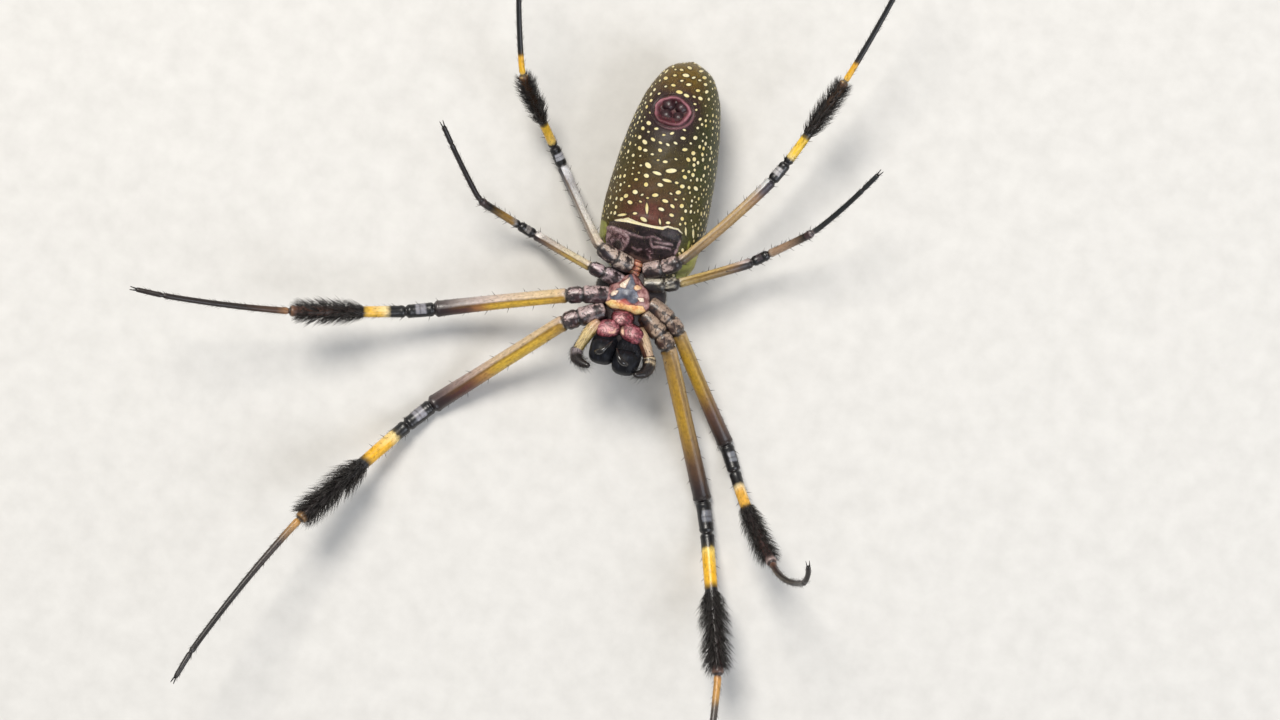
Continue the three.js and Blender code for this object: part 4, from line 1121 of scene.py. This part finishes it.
def abdomen_front(finish, fine, wobble, in_front):
    """The dark glossy plates of the front, with folds of mauve flesh and the cream line behind them."""
    streak = finish.noise(1.2, 4.0, 0.55, 1.2, stretch=(0.8, 1.6, 1.0))
    plates = finish.ramp(streak, (0.3, "#150e10"), (0.47, "#231a1b"), (0.56, "#37292c"), (0.62, "#241a1c"),
                         (0.8, "#120c0e"))
    finish.lay(plates, in_front)
    finish.lay("#3a2820", finish.inside("lobe", wobble, 0.3, 0.2), 0.8)
    mauve = finish.ramp(finish.noise(2.4, 4.0, 0.6, 1.0), (0.34, "#24131a"), (0.45, "#543a3e"),
                        (0.54, "#8c6c70"), (0.63, "#bca0a2"), (0.74, "#463034"))
    finish.lay(mauve, finish.inside("flesh", wobble, 0.4, 0.14), 0.85)
    finish.lay("#665049", finish.inside("bulge", wobble, 0.5, 0.2), 0.8)
    finish.lay("#22080d", finish.inside("hollow", wobble, 0.15, 0.12))
    pinker = finish.ramp(fine, (0.3, "#6e5054"), (0.48, "#97797c"), (0.62, "#c8b0b0"))
    patchy = finish.between(finish.noise(1.3, 3.0, 0.6), 0.35, 0.6, 0.25, 1.0)
    finish.lay(pinker, finish.inside("fold", wobble, 0.34, 0.13), patchy)
    line = finish.ramp(fine, (0.3, "#ddd08a"), (0.55, "#efe3c4"))
    finish.lay(line, finish.inside("cream_line", fine, 0.14, 0.04))


def abdomen_finish():
    finish = Finish("abdomen_skin", roughness=0.5, coat=0.06, coat_roughness=0.3, specular=0.28, soft=0.06)
    cloud, fine = finish.noise(0.6, 4.0, 0.6), finish.noise(3.6, 5.0, 0.65)
    wobble, speck = finish.noise(1.8, 3.0, 0.6), finish.noise(11.0, 3.0, 0.6)
    spot = finish.inside("spot", fine, 0.08, 0.035)
    in_front = finish.inside("front", wobble, 0.12, 0.08)
    abdomen_ground(finish, cloud, fine, wobble, speck)
    abdomen_pattern(finish, fine, wobble, spot)
    abdomen_front(finish, fine, wobble, in_front)
    folds = finish.ramp(finish.noise(2.2, 4.0, 0.6, 0.8), (0.3, "#22090f"), (0.48, "#3a1319"),
                        (0.6, "#562028"), (0.75, "#2c0d13"))
    finish.lay(folds, finish.between(finish.reads("ring_away"), 1.95, 1.7))
    finish.lay("#a86f79", finish.reads("rim"), finish.between(fine, 0.25, 0.6, 0.55, 1.0))
    height = finish.sums("MULTIPLY_ADD", spot, 0.25, finish.sums("MULTIPLY_ADD", speck, 0.5, fine))
    finish.relief(height, 0.4, 0.00008)
    glossier = finish.times(in_front, 0.14)
    return finish.paint(finish.sums("SUBTRACT", finish.spread(fine, 0.42, 0.56), glossier))


moulded("abdomen_skin", abdomen_place, 330, 290, abdomen_finish(), "abdomen", ["abdomen"], abdomen_marks,
        ABDOMEN_POSE)


def cone_flesh():
    finish = Finish("cone_flesh", roughness=0.42, coat=0.3, coat_roughness=0.25, soft=0.08)
    folds = finish.noise(2.6, 4.0, 0.6, 0.8)
    finish.relief(folds, 0.5, 0.00012)
    finish.shade = finish.ramp(folds, (0.3, "#14060a"), (0.6, "#34131a"), (0.8, "#220b11"))
    high = finish.ramp(folds, (0.3, "#3e171e"), (0.55, "#6c333c"), (0.75, "#98606a"))
    finish.lay(high, finish.past("tip_run", folds, 0.4, 0.5, 0.85))
    return finish.paint()


cone_skin = cone_flesh()


def spinneret(name, x, y, radius, height, replaced):
    """A blunt cone that leans towards the others."""
    belly_z = float(table(ABDOMEN_ROWS)(np.array([0.7]))[0, 3]) - 0.32
    sunk = 0.35

    def place(turn, run):
        rise = (height + sunk) * run - sunk
        lean = np.clip(rise, 0, None) * 0.55
        angle = 2 * math.pi * turn
        blunt = np.sqrt(np.clip(1 - run**3.2, 0, 1))
        r = radius * (1 + 0.1 * np.cos(run * 22)) * blunt * ended(run + 0.5, 0.01)
        r = r * (1 + 0.05 * np.sin(5 * angle + run * 4))
        inward_y = y * (1 - lean)
        return np.stack([
            x * (1 - lean) + r * np.cos(angle), SPINNERET_Y + inward_y + r * np.sin(angle),
            belly_z + rise - 0.14 * inward_y], -1)

    moulded(name, place, 28, 24, cone_skin, "spinneret", replaced, lambda turn, run: {"tip_run": run},
            ABDOMEN_POSE)


for side, sign in SIDES:
    spinneret(f"spinneret_front_{side}_skin", sign * 0.68, -0.6, 0.66, 0.66, [f"spinneret_front_{side}"])
    spinneret(f"spinneret_rear_{side}_skin", sign * 0.7, 0.56, 0.64, 0.62, [f"spinneret_rear_{side}"])
spinneret("vent_knob", 0.0, 0.98, 0.3, 0.35, [])


# Waist and head shield
WAIST_SEAMS = (0.27, 0.5, 0.73)


def waist_seams(run, width):
    return sum(smooth_bump(run - at, width) for at in WAIST_SEAMS)


def waist_size(run):
    return PEDICEL["radius"] * (1.06 - 0.2 * waist_seams(run, 0.03)) * ended(run, 0.06)


def waist_finish():
    finish = Finish("waist_skin", roughness=0.42, coat=0.25, soft=0.1)
    patch = finish.noise(1.6, 3.0, 0.5, 0.6)
    finish.relief(patch, 0.4, 0.0001)
    finish.shade = finish.ramp(patch, (0.34, "#7a3c2c"), (0.48, "#bb7860"), (0.62, "#dcab8a"),
                               (0.75, "#c88468"))
    finish.lay("#1e0f0d", finish.reads("seam"))
    return finish.paint()


waist_path = through([
    [0.06 * k, PEDICEL["y"] - 1.0 + k, PEDICEL["z"] + 0.05 * (k == 1)] for k in range(3)])
moulded("waist_skin", tube_place(waist_path, waist_size), 32, 48, waist_finish(), "waist", ["pedicel"],
        lambda turn, run: {"seam": 0.9 * waist_seams(run, 0.022)})


def carapace_place(turn, run):
    base = loft_point(CARAPACE_ROWS, turn, run)
    over = base[:, 2] > RIM_Z
    base[:, 2] = np.where(over, RIM_Z + (base[:, 2] - RIM_Z) * 0.5, base[:, 2])
    narrowing = 1 - 0.1 * np.clip((base[:, 2] - RIM_Z) / 1.5, 0, 1)
    base[:, 0] = np.where(over, base[:, 0] * narrowing, base[:, 0])
    x, y = base[:, 0], base[:, 1]
    on_back = np.clip(-np.sin(2 * math.pi * turn), 0, 1)
    # the pit in the middle of the back, the groove round the head and the grooves to each leg
    pit = 0.35 * smooth_bump(np.hypot(x / 0.8, (y - 0.2) / 0.5), 1.0)
    neck = 0.22 * smooth_bump(y + 1.6 - np.abs(x) * 0.75, 0.3) * np.clip(np.abs(x) / 0.8, 0, 1)
    angle = np.arctan2(y - 0.2, np.abs(x) + 1e-6)
    grooves = 0.1 * np.clip(np.cos(angle * 6 + 0.4), 0, 1) ** 3
    grooves = grooves * np.clip((np.hypot(x, y - 0.2) - 0.8) / 1.5, 0, 1)
    grow = -on_back * (pit + neck + grooves * (y > -2.6)) + 0.03 * ripple(base, 3.0, 9)
    return swollen(base, CARAPACE_ROWS, turn, run, grow, 1.5)


def carapace_marks(turn, run):
    return {"underneath": np.clip(0.5 + 3 * np.sin(2 * math.pi * turn), 0, 1)}


def carapace_finish():
    finish = Finish("shield_horn", roughness=0.42, coat=0.3, coat_roughness=0.25)
    cloud, fine = finish.noise(0.9, 4.0, 0.6), finish.noise(7.0, 4.0)
    finish.relief(fine, 0.3, 0.00006)
    finish.shade = finish.ramp(cloud, (0.3, "#120d0b"), (0.5, "#241a15"), (0.7, "#3a2c22"))
    flesh = finish.ramp(cloud, (0.3, "#0e0607"), (0.55, "#221012"), (0.75, "#3a1a1c"))
    finish.lay(flesh, finish.reads("underneath"))
    return finish.paint(finish.spread(fine, 0.4, 0.56))


moulded("carapace_skin", carapace_place, 96, 90, carapace_finish(), "shield", ["carapace"], carapace_marks,
        HEAD_POSE)

# Breast plate and mouth
# Drawn on the underside of the head as (across, along), in millimetres from the head's own middle.
HEAD_AREAS = {
    "slate": [[(-0.2, 2), (-0.3, 0.7), (-1.1, 0.2), (-1.1, -0.1), (-1.7, -0.5), (-1.5, -0.7), (-0.6, -0.6),
               (0, -0.3), (0.4, -0.7), (0.9, -0.7), (1.2, -0.3), (0.9, 0.1), (0.7, 0.7), (0, 1.8)]],
    "cream": [[(-0.2, 1.7), (-1, 0.8), (-0.9, 0.6), (-0.4, 0.6), (-0.3, 1)],
              [(-1.7, -0.3), (-1.5, 0), (-1.1, 0.1), (-1.2, -0.3), (-1.6, -0.5)],
              [(1.2, -0.2), (1.7, -0.1), (1.8, -0.4), (1.5, -0.5)]],
    "amber": [[(0.6, 1), (0.8, 1.1), (1.2, 1), (1.2, 0.8), (0.8, 0.6), (0.6, 0.7)]],
    "crescent": [[(-2.1, -1.4), (-1.5, -1), (-0.6, -0.9), (0.2, -1.2), (1.8, -1), (2.1, -1.4), (2, -1.9),
                  (1.4, -1.9), (0.7, -1.6), (-0.9, -1.6), (-1.8, -1.7)]],
    # yellow: painted highlights at the two ends of the crescent.
    "yellow": [[(-1.9, -1.4), (-1.5, -1.1), (-1.2, -1.3), (-1.5, -1.6), (-1.8, -1.6)],
               [(1.1, -1.5), (1.7, -1.4), (1.8, -1.6), (1.4, -1.8)]],
    "blush": [[(-0.9, -0.9), (-0.3, -0.6), (0.4, -0.8), (0.5, -1.1), (-0.2, -1.2), (-0.8, -1.1)]],
    "lip_pink": [[(-0.7, -2.5), (-0.1, -2.2), (0.3, -2.6), (0, -3.2), (-0.7, -3.1)]],
    "jaw_pink": [[(-2.2, -4.2), (-1.6, -3.7), (-0.8, -3.6), (-0.5, -3.8), (-0.6, -4.2), (-1.3, -4.5)],
                 [(0.9, -3.6), (1.5, -3.6), (1.8, -4.1), (1.3, -4.3), (0.8, -4.1)]],
    "jaw_cream": [[(0.1, -3.6), (0.3, -3.5), (0.5, -3.9), (0.5, -4.3), (0.3, -4.3), (0.1, -4)],
                  [(-0.4, -3.8), (-0.3, -3.8), (-0.5, -4.3), (-1, -4.4), (-1, -4.3), (-0.6, -4.2)]],
}
# The breast plate's low knobs, as (across, along): two pairs and one in the middle.
PLATE_KNOBS = [(-0.7, 1.0), (0.85, 0.9), (-1.45, -0.2), (1.5, -0.28), (-0.1, -0.2)]
# The raised marks of the breast plate: their height and the softness of their edge.
RAISED_MARKS = {"cream": (0.1, 0.06), "amber": (0.08, 0.06), "crescent": (0.12, 0.08), "slate": (0.04, 0.08)}
PLATE_KEYS = ("slate", "cream", "amber", "crescent", "yellow", "blush")
JAW_KEYS = ("jaw_pink", "jaw_cream")


def head_edges(x, y, keys):
    return {key: area_edge(x, y, *HEAD_AREAS[key]) for key in keys}


def flat_ripple(x, y, scale, seed):
    return ripple(np.stack([x, y, 0 * x], -1), scale, seed)


def domed_place(x, y, z, dome, depth, reach, relief, turned=0.0, fullness=0.6):
    """place() of a domed plate: reach(angle) is its outline and relief(x, y) what is raised on it."""

    def place(turn, run):
        angle = 2 * math.pi * turn
        tilt = math.pi * (run - 0.5)
        out = reach(angle) * np.maximum(np.cos(tilt), 0) ** fullness
        rise = np.sin(tilt) * np.where(tilt > 0, dome, depth)
        made = np.stack([x + out * np.cos(angle + turned), y + out * np.sin(angle + turned), z + rise], -1)
        made[:, 2] += relief(made[:, 0], made[:, 1]) * np.clip(np.sin(tilt) * 3, 0, 1)
        return made

    return place


def domed_plate(name, shape, keys, finish, slot, replaced, around=64, along=44):
    def marks(turn, run):
        own = shape(turn, run)
        edges = head_edges(own[:, 0], own[:, 1], keys)
        return {"plate_run": run, **{key: np.clip(edge, -1, 1) for key, edge in edges.items()}}

    moulded(name, shape, around, along, finish, slot, replaced, marks, HEAD_POSE)


def sternum_reach(angle):
    from_rear = np.arccos(np.clip(np.sin(angle), -1, 1)) / math.pi
    return table(STERNUM_REACH)(from_rear)[..., 0] - 0.05 * (1 + np.cos(8 * angle))


def sternum_relief(x, y):
    knobs = sum(0.14 * smooth_bump(np.hypot(x - a, y - b), 0.4) for a, b in PLATE_KNOBS)
    edges = head_edges(x, y, RAISED_MARKS)
    raised = sum(height * rising(edges[key], soft) for key, (height, soft) in RAISED_MARKS.items())
    return knobs + raised + 0.03 * flat_ripple(x * 2, y * 2, 1.6, 8)


def sternum_finish():
    finish = Finish("breast_plate", roughness=0.44, coat=0.14, coat_roughness=0.3, soft=0.08)
    fine, cloud = finish.noise(3.4, 4.0, 0.6), finish.noise(1.5, 4.0)
    finish.shade = finish.ramp(cloud, (0.3, "#5e3836"), (0.45, "#8c5c5a"), (0.6, "#bb918c"),
                               (0.75, "#74474a"))
    marked = {
        "crescent": (0.1, cloud, (0.3, "#cc8254"), (0.46, "#e6b070"), (0.62, "#f2d29a")),
        "slate": (0.16, cloud, (0.3, "#3c3e4b"), (0.5, "#565966"), (0.68, "#7b7e8c")),
        "cream": (0.05, fine, (0.3, "#dcc0aa"), (0.6, "#eddbc6")),
        "amber": (0.04, fine, (0.3, "#d2a072"), (0.6, "#e6c09a")),
    }
    for key, (wider, noise, *stops) in marked.items():
        edge = finish.sums("SUBTRACT", finish.swung(finish.reads(key), fine, 0.24), wider)
        finish.lay("#58221e", finish.between(finish.sums("ABSOLUTE", edge), 0.12, 0.03), 0.7)
        finish.lay(finish.ramp(noise, *stops), finish.between(edge, 0.06, -0.06))
    # Painted highlights at the two ends of the crescent.
    finish.lay(finish.ramp(fine, (0.3, "#e6ba6c"), (0.6, "#f0d494")), finish.inside("yellow", fine, 0.3, 0.1))
    finish.lay("#b8554a", finish.inside("blush", fine, 0.6, 0.2), 0.75)
    # Painted shade: darker on the plate's sides, where it curves away.
    finish.lay("#3a1614", finish.past("plate_run", cloud, 0.12, 0.68, 0.56), 0.85)
    finish.shade = finish.toned(finish.shade, finish.spread(fine, 0.85, 1.1))
    finish.relief(fine, 0.35, 0.00008)
    return finish.paint(finish.spread(fine, 0.3, 0.46))


sternum_shape = domed_place(0.0, 0.0, 7.5, 1.15, 1.25, sternum_reach, sternum_relief)
domed_plate("sternum_skin", sternum_shape, PLATE_KEYS, sternum_finish(), "plate", ["sternum"], 120, 90)


def mouth_finish(name, low, middle, high, pink_key, cream_key=None):
    finish = Finish(name, roughness=0.5, coat=0.08, specular=0.35, soft=0.08)
    fine = finish.noise(2.6, 4.0, 0.6, 0.5)
    finish.shade = finish.ramp(fine, (0.32, low), (0.48, middle), (0.6, high), (0.7, low))
    pink = finish.ramp(fine, (0.3, "#ac6066"), (0.44, "#cc8e92"), (0.58, "#e8c2bc"), (0.72, "#b87478"))
    finish.lay(pink, finish.inside(pink_key, fine, 1.3, 0.3))
    if cream_key:
        finish.lay("#e8c0a4", finish.inside(cream_key, fine, 0.4, 0.16))
    # Painted shade: darker on the plate's sides, where it curves away, and thin dark lines of painted shade
    # in creases.
    finish.lay("#1e090b", finish.past("plate_run", fine, 0.34, 0.84, 0.62), 0.92)
    finish.lay("#2a0d0d", finish.contour(finish.noise(0.8, 3.0, 0.6, 1.2), 0.06), 0.7)
    finish.relief(fine, 0.5, 0.00016)
    return finish.paint(finish.spread(fine, 0.42, 0.58))


def mouth_ripple(x, y):
    return 0.17 * flat_ripple(x, y, 2.2, 12)


def lip_reach(angle):
    return np.hypot((1.24 + 0.14 * np.sin(angle)) * np.cos(angle), 0.9 * np.sin(angle))


def lip_relief(x, y):
    """The creased skin of the lip, with the bent groove across it."""
    return mouth_ripple(x, y) - 0.14 * smooth_bump(y + 2.15 + 0.15 * x**2, 0.1)


def maxilla_reach(angle):
    """An outline between an ellipse and a rectangle."""
    across = np.abs(np.cos(angle) / MAXILLA["half_width"]) ** 2.5
    along = np.abs(np.sin(angle) / MAXILLA["half_length"]) ** 2.5
    return 1.08 / (across + along) ** 0.4


def maxilla_relief(x, y):
    return mouth_ripple(x, y) + 0.05 * rising(area_edge(x, y, *HEAD_AREAS["jaw_cream"]), 0.06)


labium_shape = domed_place(-0.03, -2.62, 7.9, 0.85, 1.0, lip_reach, lip_relief, fullness=0.4)
lip_skin = mouth_finish("lip_skin", "#3a0f14", "#6c262e", "#964a54", "lip_pink")
domed_plate("labium_skin", labium_shape, ("lip_pink",), lip_skin, "mouth", ["labium"])
jaw_skin = mouth_finish("jaw_skin", "#40141a", "#783640", "#a8626a", *JAW_KEYS)
for side, sign in SIDES:
    maxilla_shape = domed_place(
        sign * MAXILLA["x"], MAXILLA["y"], MAXILLA["z"], MAXILLA["dome"] - 0.1, MAXILLA["depth"],
        maxilla_reach, maxilla_relief, sign * math.radians(MAXILLA["toe"]), 0.42)
    domed_plate(f"maxilla_{side}_skin", maxilla_shape, JAW_KEYS, jaw_skin, "mouth", [f"maxilla_{side}"])


def fang_base_finish():
    finish = Finish("jaw_base_horn", roughness=0.56, specular=0.22)
    ridges = finish.noise(1.8, 4.0, stretch=(2.4, 0.8, 0.8))
    finish.relief(ridges, 0.4, 0.0001)
    finish.shade = finish.ramp(ridges, (0.3, "#08080b"), (0.55, "#121319"), (0.75, "#262932"))
    return finish.paint(finish.spread(ridges, 0.48, 0.62))


base_horn = fang_base_finish()
base_swell = table([[0.7], [0.82], [0.98], [1.04], [1.02], [0.92], [0.72]])
fang_swell = table([[0.6], [1], [0.95], [0.75], [0.5], [0.12]])


def base_size(run):
    return base_swell(run)[..., 0] * CHELICERA["radius"] * ended(run, 0.16)


def fang_size(run):
    return 0.3 * fang_swell(run)[..., 0] * ended(run, 0.05)


def set_jaw(side, sign):
    """A jaw and the fang folded over its end. Gives place() of the jaw."""
    x, root_y, root_z = CHELICERA["x"], CHELICERA["root_y"], CHELICERA["root_z"]
    y, z = CHELICERA["tip_y"] - sign * CHELICERA["ahead"], CHELICERA["tip_z"]
    path = through([
        [sign * x * 0.95, root_y, root_z], [sign * x, root_y - 0.75, root_z + 1.8],
        [sign * x, y - 0.1, z - 1.8], [sign * x * 0.98, y + 0.15, z]])
    place = tube_place(path, base_size, (0, -1, 0), CHELICERA["square"])
    moulded(f"chelicera_{side}_skin", place, 64, 56, base_horn, "jaw", [f"chelicera_{side}"], pose=HEAD_POSE)
    fang_path = through([
        [sign * (x + 0.55), y - 0.35, z + 0.12], [sign * (x - 0.1), y - 0.15, z + 0.62],
        [sign * (x - 0.65), y + 0.45, z + 0.55], [sign * 0.28, y + 1.15, z - 0.05]])
    moulded(f"fang_{side}_skin", tube_place(fang_path, fang_size), 20, 36, claw_horn, "jaw", [f"fang_{side}"],
            pose=HEAD_POSE)
    return place


jaw_places = {side: set_jaw(side, sign) for side, sign in SIDES}


# Palps
# How each palp is coloured on its upper and lower side: places along it, from 0 to 1, and the colours there.
# The lower side's darker colours are partly painted shade, most of all the right palp's dark red-brown.
PALP_LOOKS = {
    "left": dict(stout=1.2, pale_from=-0.25, upper=[
        (0.0, "#6a4a40"), (0.08, "#c9a07c"), (0.2, "#d8c08a"), (0.4, "#d2bc88"), (0.5, "#4a3c30"),
        (0.55, "#9a8f93"), (0.64, "#857b7e"), (0.72, "#1c1618"), (1.0, "#0a0809")],
        lower=[(0.0, "#4a2c26"), (0.1, "#8c5c44"), (0.22, "#b09a4c"), (0.42, "#a08a44"), (0.5, "#2a2018"),
               (0.56, "#161013"), (1.0, "#0a0809")]),
    "right": dict(stout=1.34, pale_from=0.05, upper=[
        (0.0, "#5a3c30"), (0.1, "#b9a080"), (0.25, "#cbb090"), (0.42, "#c2a488"), (0.5, "#3a2c26"),
        (0.56, "#d2bf9c"), (0.6, "#2a1e1a"), (0.66, "#c4b090"), (0.7, "#1c1413"), (1.0, "#0a0809")],
        lower=[(0.0, "#2a1613"), (0.12, "#4c281e"), (0.3, "#5c3626"), (0.44, "#3e241c"), (0.5, "#1c1210"),
               (0.56, "#120d0e"), (1.0, "#0a0809")]),
}
PALP_HAIRS = 520
palp_radius = table([[0.44], [0.48], [0.54], [0.54], [0.5], [0.46], [0.44], [0.48], [0.54], [0.52], [0.5],
                     [0.46], [0.4], [0.3], [0.18]])


def palp_finish(name, look):
    finish = Finish(name, roughness=0.42, coat=0.2, soft=0.1, place="straight_place")
    fine = finish.noise(2.2, 4.0, 0.6, stretch=(0.5, 1.5, 1.5))
    uneven = finish.swung(finish.reads("palp_run"), fine, 0.08)
    facing = finish.swung(finish.reads("pale_facing"), fine, 1.4)
    # The lower side, whose darker colours are partly painted shade, with the upper side laid over it.
    finish.shade = finish.ramp(uneven, *look["lower"])
    pale_from = look["pale_from"]
    finish.lay(finish.ramp(uneven, *look["upper"]), finish.between(facing, pale_from, pale_from + 0.2))
    finish.lay("#3c2418", finish.contour(finish.noise(1.6, 2.0, stretch=(0.2, 2.4, 2.4)), 0.04), 0.5)
    finish.relief(fine, 0.3, 0.00006)
    return finish.paint(finish.spread(fine, 0.32, 0.5))


def palp_hairs(side, path):
    run, angle = 0.08 + 0.9 * random.random(PALP_HAIRS), random.random(PALP_HAIRS) * 2 * math.pi
    centre, forward, across, up = across_path(path, run)
    out = swept(across, up, angle)
    root = centre + out * (1.18 * palp_radius(run)[:, 0] - 0.03)[:, None]
    lengths = (0.3 + 0.7 * run**2) * (0.6 + 0.6 * random.random(PALP_HAIRS))
    way = out * 0.8 + forward * 0.8 + 0.15 * random.normal(size=(PALP_HAIRS, 3))
    patch = np.stack([angle / (2 * math.pi), run], -1)
    bristles(f"hairs_palp_{side}", root, way, forward * 0.4 - out * 0.2, lengths, np.full(PALP_HAIRS, 0.018),
             patch, ink_bristle, "palp")


def set_palp(side, sign):
    """A palp with a groove at its knee, and its hairs."""
    look, path = PALP_LOOKS[side], through(PALPS[side])

    def size(run):
        groove = 1 - 0.2 * smooth_bump(run - 0.47, 0.025)
        return look["stout"] * palp_radius(run)[..., 0] * groove * ended(run, 0.03)

    def marks(turn, run):
        _, _, across, up = across_path(path, run)
        angle = 2 * math.pi * turn
        out = swept(across, up, angle)
        return {"palp_run": run, "straight_place": np.stack([run * 9, np.cos(angle), np.sin(angle)], -1),
                "pale_facing": out[:, 0] * sign * 0.3 + out[:, 1] * 0.9 + out[:, 2] * 0.3}

    name = f"palp_{side}_skin"
    moulded(name, tube_place(path, size), 32, 90, palp_finish(name, look), "palp",
            [f"palp_{side}_femur", f"palp_{side}_tarsus"], marks)
    palp_hairs(side, path)


for side, sign in SIDES:
    set_palp(side, sign)


# Eyes
EYE_RADIUS = 0.29
EYE_SINK = 0.02


def eye_glass():
    finish = Finish("eye_glass", roughness=0.08, coat=1.0, coat_roughness=0.03)
    finish.shade = finish.ramp(finish.noise(2.0, 2.0), (0.3, "#050507"), (0.7, "#16121a"))
    return finish.paint()


def set_eye(name, side, sign, along, angle, glass):
    """A bead on the shield, at a place along it and an angle round it."""
    turned = (angle if sign > 0 else -180 - angle) / 360 % 1.0
    centre = loft_point(CARAPACE_ROWS, np.array([turned]), np.array([along]), EYE_SINK)[0]

    def bead(turn, run):
        tilt, angle = math.pi * (run - 0.5), 2 * math.pi * turn
        flat = EYE_RADIUS * np.cos(tilt)
        return centre + np.stack([flat * np.cos(angle), flat * np.sin(angle), EYE_RADIUS * np.sin(tilt)], -1)

    moulded(f"eye_{name}_{side}_bead", bead, 24, 16, glass, "eye", [f"eye_{name}_{side}"], pose=HEAD_POSE)


glass = eye_glass()
for side, sign in SIDES:
    for name, (along, angle) in zip(("front_middle", "rear_middle", "front_side", "rear_side"), EYES):
        set_eye(name, side, sign, along, angle, glass)


# Down on the shield, hairs of the body
def coat(name, place, pose, finish, slot, count, turns, runs, size, width, lean):
    """Short hairs that lie back over a body part."""
    turn = turns[0] + (turns[1] - turns[0]) * random.random(count)
    run = runs[0] + (runs[1] - runs[0]) * random.random(count)
    here, out, down = outward(place, turn % 1.0, run)
    here, out, down = posed(here, pose), out @ pose[0].T, down @ pose[0].T
    backward = down * np.sign(down[:, 1:2] + 1e-9)
    way = unit(out + backward * lean + 0.2 * random.normal(size=(count, 3)))
    lengths = size * (0.6 + 0.7 * random.random(count))
    bristles(name, here - out * 0.03, way, backward * 0.5 - out * 0.3, lengths, np.full(count, width),
             np.stack([turn % 1.0, run], -1), finish, slot, levels=2)


ALL_ROUND, BACK_HALF = (0.0, 1.0), (0.5, 1.0)
silver_down = hair_finish("silver_down", "#8f8a80", "#d6d2c8", 0.5)
pale_down = hair_finish("pale_down", "#6a5c38", "#b8a878", 0.5)
coat("shield_down", carapace_place, HEAD_POSE, silver_down, "shield", count=9000, turns=BACK_HALF,
     runs=(0.02, 0.98), size=0.42, width=0.022, lean=1.6)
coat("abdomen_down", abdomen_place, ABDOMEN_POSE, pale_down, "abdomen", count=6000, turns=ALL_ROUND,
     runs=(0.02, 0.98), size=0.26, width=0.009, lean=1.1)
coat("breast_hairs", sternum_shape, HEAD_POSE, dark_seta, "plate", count=160, turns=ALL_ROUND,
     runs=(0.55, 0.95), size=0.3, width=0.012, lean=0.9)
coat("jaw_hairs", jaw_places["right"], HEAD_POSE, ink_bristle, "jaw", count=120, turns=ALL_ROUND,
     runs=(0.5, 0.9), size=0.5, width=0.014, lean=0.6)
